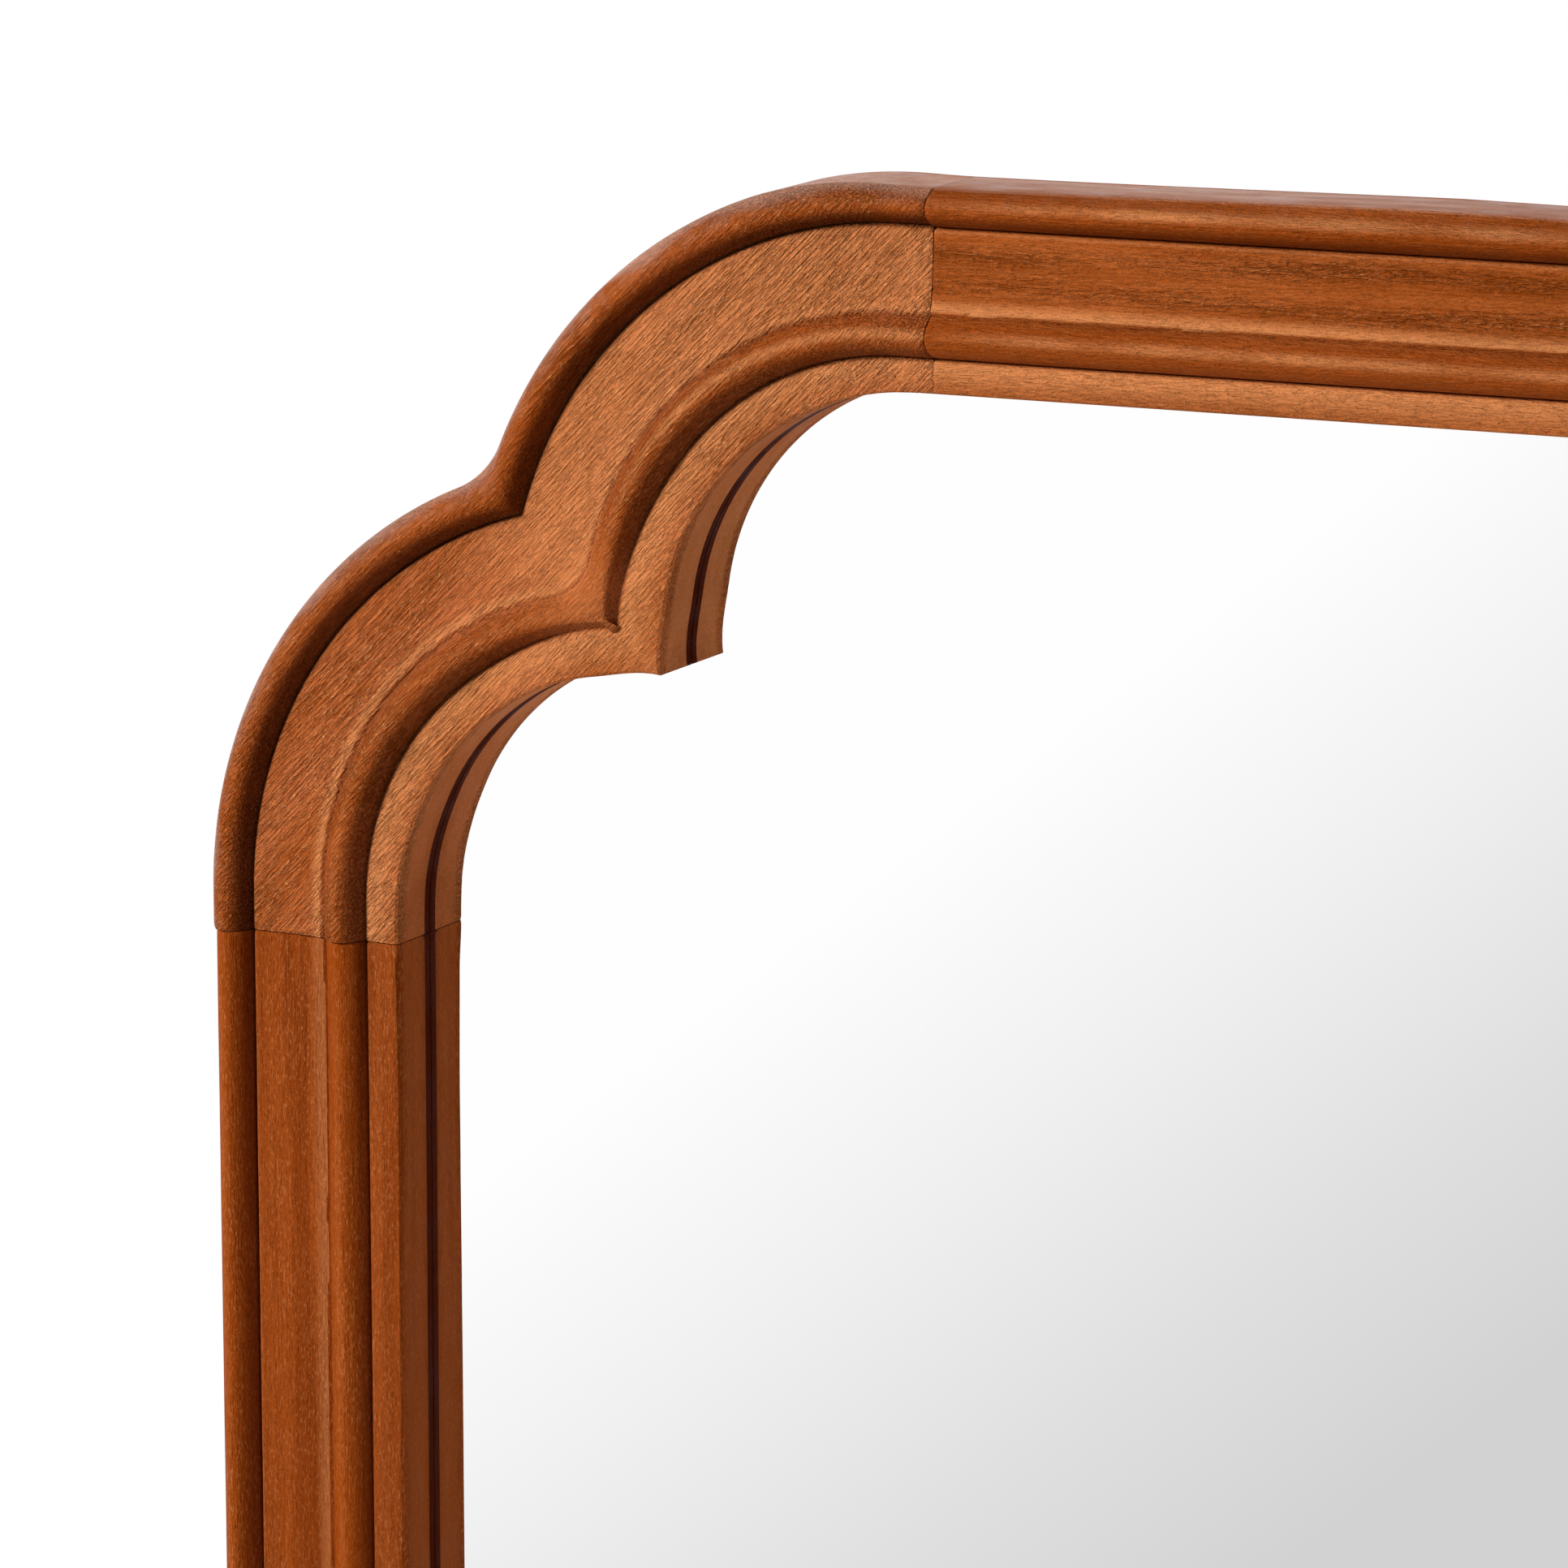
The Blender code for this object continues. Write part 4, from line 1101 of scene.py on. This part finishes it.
def silvered_mirror():
    """Silver film behind float glass."""
    # The eye gets a sharp, clear and neutral reflection.
    material, add = new_material("silvered_float_glass")
    shader = add("BsdfPrincipled", {"Base Color": linear("#FEFEFE"), "Metallic": 1.0, "Roughness": 0.0})
    add("OutputMaterial", {"Surface": shader})
    return material


# Sizes of the hardboard's features. The real press screen's mesh is 1.5 mm, and it is drawn at 3 mm to show
# in the picture.
CLOUD = 0.06
BOARD_FIBRE = 0.0012
SCREEN_MESH = 0.003
SCREEN_HEIGHT = 0.0002


def hardboard():
    """Pressed hardboard with its screen side out."""
    # The eye gets a dark, dull brown with cloudy fibre and the woven imprint of the press screen.
    material, add = new_material("pressed_hardboard")
    place = add("TexCoord", output="Object")
    cloud = add("TexNoise", {"Vector": place, "Scale": 1 / CLOUD, "Detail": 6.0, "Roughness": 0.6}, "Fac")
    fibre = add("TexNoise", {"Vector": place, "Scale": 1 / BOARD_FIBRE, "Detail": 3.0}, "Fac")
    waves = []
    for axis in ("X", "Z"):
        along = add("SeparateXYZ", (place,), axis)
        turns = add("Math", (along, math.tau / SCREEN_MESH), operation="MULTIPLY")
        waves.append(add("Math", (turns,), operation="SINE"))
    screen = add("Math", waves, operation="MULTIPLY")
    colour = add("ValToRGB", (add("Math", (screen, 0.12, cloud), operation="MULTIPLY_ADD"),))
    set_stops(colour.node, ((0.30, "#54361F"), (0.70, "#7C5836")))
    value = add("MapRange", (fibre, 0.3, 0.7, 0.82, 1.15))
    speckled = add("HueSaturation", {"Color": colour, "Value": value})
    height = add("Math", (screen, fibre), operation="ADD")
    bump = add("Bump", {"Strength": 0.6, "Distance": SCREEN_HEIGHT, "Height": height})
    shader = add(
        "BsdfPrincipled",
        {"Base Color": speckled, "Roughness": 0.65, "Specular IOR Level": 0.25, "Normal": bump})
    add("OutputMaterial", {"Surface": shader})
    return material


# Sizes of the grit or plating in the plain finishes, and the height of its relief
GRIT = 0.0006
FOAM_CELL = 0.001
BEECH_FLECK = 0.0012
GRIT_HEIGHT = 0.00008


def plain_finish(name, code, roughness, metallic=0.0, speck=GRIT):
    """A finish with one colour, mottled at the scale of its grit, cells or plating."""
    material, add = new_material(name)
    place = add("TexCoord", output="Object")
    mottle = add("TexNoise", {"Vector": place, "Scale": 1 / speck, "Detail": 3.0}, "Fac")
    value = add("MapRange", (mottle, 0.3, 0.7, 0.85, 1.12))
    shade = add("HueSaturation", {"Color": linear(code), "Value": value})
    bump = add("Bump", {"Strength": 0.3, "Distance": GRIT_HEIGHT, "Height": mottle})
    shader = add(
        "BsdfPrincipled",
        {"Base Color": shade, "Roughness": roughness, "Metallic": metallic, "Normal": bump})
    add("OutputMaterial", {"Surface": shader})
    return material


# Operators
def wood_settings(context):
    """The sizes of the moulding and the carving, and the wood's colours."""
    scene = context.scene
    return scene.mirror_moulding, scene.mirror_carving, scene.mirror_finish


class MIRROR_OT_corner_blocks(Operator):
    """Model the four carved corner blocks"""

    bl_idname = "wall_mirror.corner_blocks"
    bl_label = "Corner blocks"

    def execute(self, context):
        sizes, carving, finish = wood_settings(context)
        plain = block_mesh(sizes)
        rising, falling = (
            hardwood(
                "oiled_hardwood_" + word, finish.block_dark, finish.block_light, finish,
                math.radians(angle), *BLOCK_WOOD)
            for word, angle in (("rising_grain", -45), ("falling_grain", 45)))
        corners = [(end_name, side_name) for end_name in ENDS for side_name in SIDES]
        for seed, (end_name, side_name) in enumerate(corners, 1):
            end, side = ENDS[end_name], SIDES[side_name]
            mesh = plain.copy()
            carve_block(mesh, sizes, carving, seed)
            finish_wood(mesh, sizes, seed, block_roughness, BLOCK_MARKS)
            place_wood(mesh, sizes, side, end)
            node = "corner_block_" + end_name + "_" + side_name
            add_piece("carved_" + node, mesh, falling if side * end > 0 else rising, node)
        return {"FINISHED"}


# Each bar's side and end, for the corner that it is modelled from, and its seed
STILES = {"left_stile": (-1, 1, 11), "right_stile": (1, 1, 12)}
RAILS = {"top_rail": (-1, 1, 21), "bottom_rail": (-1, -1, 22)}


class MIRROR_OT_rails_and_stiles(Operator):
    """Model the rails and stiles between the corner blocks"""

    bl_idname = "wall_mirror.rails_and_stiles"
    bl_label = "Rails and stiles"

    def execute(self, context):
        sizes, carving, finish = wood_settings(context)
        start = BLOCK_SIZE + sizes.joint_gap
        level = hardwood(
            "oiled_hardwood_level_grain", finish.rail_dark, finish.rail_light, finish, 0.0, *RAIL_WOOD)
        upright = hardwood(
            "oiled_hardwood_upright_grain", finish.stile_dark, finish.stile_light, finish,
            math.radians(90), *STILE_WOOD)
        stand = Matrix.Translation((0, 0, start - OVERALL_HEIGHT))
        lay = Matrix(((0, 0, 1, start), (0, 1, 0, 0), (-1, 0, 0, 0), (0, 0, 0, 1)))
        for bars, reach, carve, roughness, marks, turn, material in (
                (STILES, OVERALL_HEIGHT, stile_carving, stile_roughness, STILE_MARKS, stand, upright),
                (RAILS, OVERALL_WIDTH, rail_carving, rail_roughness, RAIL_MARKS, lay, level)):
            length = reach - 2 * start
            for node, (side, end, seed) in bars.items():
                mesh = bar_mesh(sizes, length)
                carve_bar(mesh, sizes, carving, seed, length, carve)
                finish_wood(mesh, sizes, seed, roughness, marks, length)
                mesh.transform(turn)
                place_wood(mesh, sizes, side, end)
                add_piece("carved_" + node, mesh, material, node)
        return {"FINISHED"}


class MIRROR_OT_glass(Operator):
    """Model the silvered glass"""

    bl_idname = "wall_mirror.glass"
    bl_label = "Mirror glass"

    def execute(self, context):
        bm = welded_node("mirror_glass")
        bmesh.ops.dissolve_limit(bm, angle_limit=FLAT_ANGLE, verts=bm.verts, edges=bm.edges)
        for corner in bm.verts:
            if corner.co.y < (GLASS_LOW.y + GLASS_HIGH.y) / 2:
                corner.co.y += context.scene.mirror_moulding.silver_setback
        mesh = to_mesh(bm, "silvered_glass")
        add_piece("silvered_glass", mesh, silvered_mirror(), "mirror_glass")
        return {"FINISHED"}


class MIRROR_OT_back_and_fixings(Operator):
    """Finish the back, the hangers and the bumpers"""

    bl_idname = "wall_mirror.back_and_fixings"
    bl_label = "Back and fixings"

    def execute(self, context):
        finishes = {
            # Turned beech: pale, even and dry
            "dowel": plain_finish("turned_beech", "#C59B6A", 0.6, speck=BEECH_FLECK),
            # Foam sheet: off-white, matt and softly pitted by its cells
            "packing_sheet": plain_finish("foam_sheet", "#DAD9D4", 0.8, speck=FOAM_CELL),
            "backing_board": hardboard(),
            # Passivated brass: a soft yellow shine
            "backing_screw": plain_finish("passivated_brass", "#B8933F", 0.35, 1.0),
            # Zinc-plated steel: a cool grey shine, a little mottled
            "hang": plain_finish("zinc_plated_steel", "#B9BCBD", 0.35, 1.0),
            # Moulded rubber: near black and dull
            "wall_bumper": plain_finish("moulded_rubber", "#1B1A1A", 0.75),
        }
        for name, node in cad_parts.items():
            for word, material in finishes.items():
                if word in name:
                    node.data.materials.clear()
                    node.data.materials.append(material)
        screws = (
            ("backing_screw_", 14, BRASS_RECESS, finishes["backing_screw"], "brass_screw"),
            ("hanger_screw_", 4, STEEL_RECESS, finishes["hang"], "zinc_steel"),
        )
        for prefix, count, recess, material, slot in screws:
            for number in range(1, count + 1):
                node = prefix + str(number)
                mesh = crosshead_screw(node, number, *recess)
                add_piece("crosshead_" + node, mesh, material, node)
        return {"FINISHED"}


class MirrorStudio(PropertyGroup):
    """Where the camera and the lamps stand."""

    azimuth: angle_setting("Camera azimuth", "To the right of the mirror's axis", 25.87)
    elevation: angle_setting("Camera elevation", "Above the level", 11.18)
    roll: angle_setting("Camera roll", "Turn about the view", -0.11)
    distance: length_setting("Camera distance", "To the point that it looks at", 2.334)
    aim_in: length_setting("Aim inward", "Of the point looked at, from the left outer edge", 0.1884)
    aim_down: length_setting("Aim down", "Of the point looked at, from the top outer edge", 0.1752)
    lens: FloatProperty(name="Lens", description="Focal length in millimetres", default=187.9)
    surround: FloatProperty(name="Surround", description="Strength of light from all round", default=0.16)
    key_power: FloatProperty(
        name="Key lamp", description="Power of the key lamp", default=92.0, subtype="POWER")
    key_size: length_setting("Key lamp size", "Side of the key lamp", 0.55)
    rear_power: FloatProperty(
        name="Rear lamp", description="Power of the lamp behind the mirror", default=60.0, subtype="POWER")
    rear_size: length_setting("Rear lamp size", "Side of the lamp behind the mirror", 1.6)


# Places and sizes on the stage. The key lamp's place is from the frame's top left corner.
KEY_PLACE = Vector((-1.28, -2.08, 1.05))
REAR_PLACE = (1.6, 2.6, 1.3)
FLOOR_RADIUS = 2.2
FLOOR_FADE = (1.2, 2.1)
FLOOR_DROP = 0.0005
FLOOR_EDGES = 96
SIGHT_LIMIT = 50

# The room in reflections: the way that it darkens, where along that, and its shades
ROOM_SLOPE = (1.22, 0.0, -1.34)
ROOM_SPAN = (-0.235, -0.060)
ROOM_STOPS = ((0.0, "#FFFFFF"), (0.35, "#F1F1F2"), (0.7, "#E0E0E1"), (1.0, "#D3D3D4"))


def add_lamp(name, place, target, size, power):
    """Add a soft square lamp that faces a point."""
    data = bpy.data.lights.new(name, "AREA")
    data.shape = "SQUARE"
    data.size = size
    data.energy = power
    lamp = bpy.data.objects.new(name, data)
    bpy.context.scene.collection.objects.link(lamp)
    lamp.location = place
    lamp.rotation_mode = "QUATERNION"
    lamp.rotation_quaternion = (Vector(target) - Vector(place)).to_track_quat("-Z", "Y")


def add_world(studio):
    """White for the camera, a soft shaded room in reflections, and a plain even light for the rest."""
    world = bpy.data.worlds.new("studio")
    bpy.context.scene.world = world
    world.use_nodes = True
    world.node_tree.nodes.clear()
    add = partial(add_node, world.node_tree)
    direction = add("TexCoord", output="Generated")
    fall = add("VectorMath", (direction, ROOM_SLOPE), "Value", operation="DOT_PRODUCT")
    room = add("ValToRGB", (add("MapRange", (fall, *ROOM_SPAN)),))
    set_stops(room.node, ROOM_STOPS)
    rays = add("LightPath").node.outputs
    mirrored = add("Math", (rays["Is Glossy Ray"], rays["Is Transmission Ray"]), operation="MAXIMUM")
    lighting = add("Background", (linear("#FFFFFF"), studio.surround))
    seen = add("Background", (linear("#FFFFFF"), 1.0))
    reflected = add("Background", (room, 1.0))
    lit = add("MixShader", (mirrored, lighting, reflected))
    add("OutputWorld", {"Surface": add("MixShader", (rays["Is Camera Ray"], lit, seen))})


def pale_floor():
    """Matt painted studio floor."""
    # The eye gets white, with the shadow of what stands on it, which fades out at the floor's rim.
    material, add = new_material("matt_white_paint")
    reach = add("VectorMath", (add("TexCoord", output="Object"),), "Value", operation="LENGTH")
    rays = add("LightPath").node.outputs
    seen = add("Math", (rays["Is Camera Ray"], rays["Is Glossy Ray"]), operation="MAXIMUM")
    paint = add("BsdfPrincipled", {
        "Base Color": linear("#F4F4F3"),
        "Roughness": 0.9,
        "Specular IOR Level": 0.1,
        "Emission Color": linear("#FFFFFF"),
        "Emission Strength": add("Math", (seen, 0.42), operation="MULTIPLY"),
    })
    mix = add("MixShader", (add("MapRange", (reach, *FLOOR_FADE)), paint, add("BsdfTransparent")))
    add("OutputMaterial", {"Surface": mix})
    return material


class MIRROR_OT_stage(Operator):
    """Set the floor, the lamps and the camera"""

    bl_idname = "wall_mirror.stage"
    bl_label = "Stage"

    def execute(self, context):
        scene = context.scene
        studio = scene.mirror_studio
        scene.view_settings.view_transform = "Standard"
        add_world(studio)
        bm = bmesh.new()
        bmesh.ops.create_circle(bm, cap_ends=True, segments=FLOOR_EDGES, radius=FLOOR_RADIUS)
        floor = bpy.data.objects.new("floor", to_mesh(bm, "floor"))
        scene.collection.objects.link(floor)
        floor.location = (0, 0, -TOP - FLOOR_DROP)
        floor.data.materials.append(pale_floor())
        corner = Vector((LEFT, 0, TOP))
        add_lamp("key_lamp", corner + KEY_PLACE, corner, studio.key_size, studio.key_power)
        add_lamp("rear_lamp", REAR_PLACE, (0, 0, 0), studio.rear_size, studio.rear_power)
        data = bpy.data.cameras.new("camera")
        data.lens = studio.lens
        data.sensor_fit = "HORIZONTAL"
        data.clip_end = SIGHT_LIMIT
        camera = bpy.data.objects.new("camera", data)
        scene.collection.objects.link(camera)
        scene.camera = camera
        plane = arris_plane(scene.mirror_moulding)
        aim = Vector((LEFT + studio.aim_in, plane, TOP - studio.aim_down))
        level = math.cos(studio.elevation)
        back = Vector((
            math.sin(studio.azimuth) * level,
            -math.cos(studio.azimuth) * level,
            math.sin(studio.elevation)))
        camera.location = aim + back * studio.distance
        turn = (-back).to_track_quat("-Z", "Y").to_matrix() @ Matrix.Rotation(studio.roll, 3, "Z")
        camera.rotation_euler = turn.to_euler()
        return {"FINISHED"}


class MIRROR_PT_panel(Panel):
    """Steps and sizes of the wall mirror"""

    bl_idname = "MIRROR_PT_panel"
    bl_label = "Wall mirror"
    bl_space_type = "VIEW_3D"
    bl_region_type = "UI"
    bl_category = "Mirror"

    def draw(self, context):
        for operator in OPERATORS:
            self.layout.operator(operator.bl_idname)
        for group in GROUPS:
            box = self.layout.box()
            settings = getattr(context.scene, group)
            for name in settings.bl_rna.properties.keys():
                if name not in ("rna_type", "name"):
                    box.prop(settings, name)


GROUPS = {
    "mirror_moulding": MirrorMoulding,
    "mirror_carving": MirrorCarving,
    "mirror_finish": MirrorFinish,
    "mirror_studio": MirrorStudio,
}
OPERATORS = (
    MIRROR_OT_stage,
    MIRROR_OT_corner_blocks,
    MIRROR_OT_rails_and_stiles,
    MIRROR_OT_glass,
    MIRROR_OT_back_and_fixings,
)


def register():
    """Register the classes and give the scene its settings."""
    for group in GROUPS.values():
        bpy.utils.register_class(group)
    for name, group in GROUPS.items():
        setattr(bpy.types.Scene, name, PointerProperty(type=group))
    for item in (*OPERATORS, MIRROR_PT_panel):
        bpy.utils.register_class(item)


def unregister():
    """Take everything out again."""
    for item in (MIRROR_PT_panel, *reversed(OPERATORS)):
        bpy.utils.unregister_class(item)
    for name in GROUPS:
        delattr(bpy.types.Scene, name)
    for group in GROUPS.values():
        bpy.utils.unregister_class(group)


def main():
    """Build everything."""
    register()
    bpy.ops.wall_mirror.stage()
    bpy.ops.wall_mirror.corner_blocks()
    bpy.ops.wall_mirror.rails_and_stiles()
    bpy.ops.wall_mirror.glass()
    bpy.ops.wall_mirror.back_and_fixings()


if __name__ == "__main__":
    main()
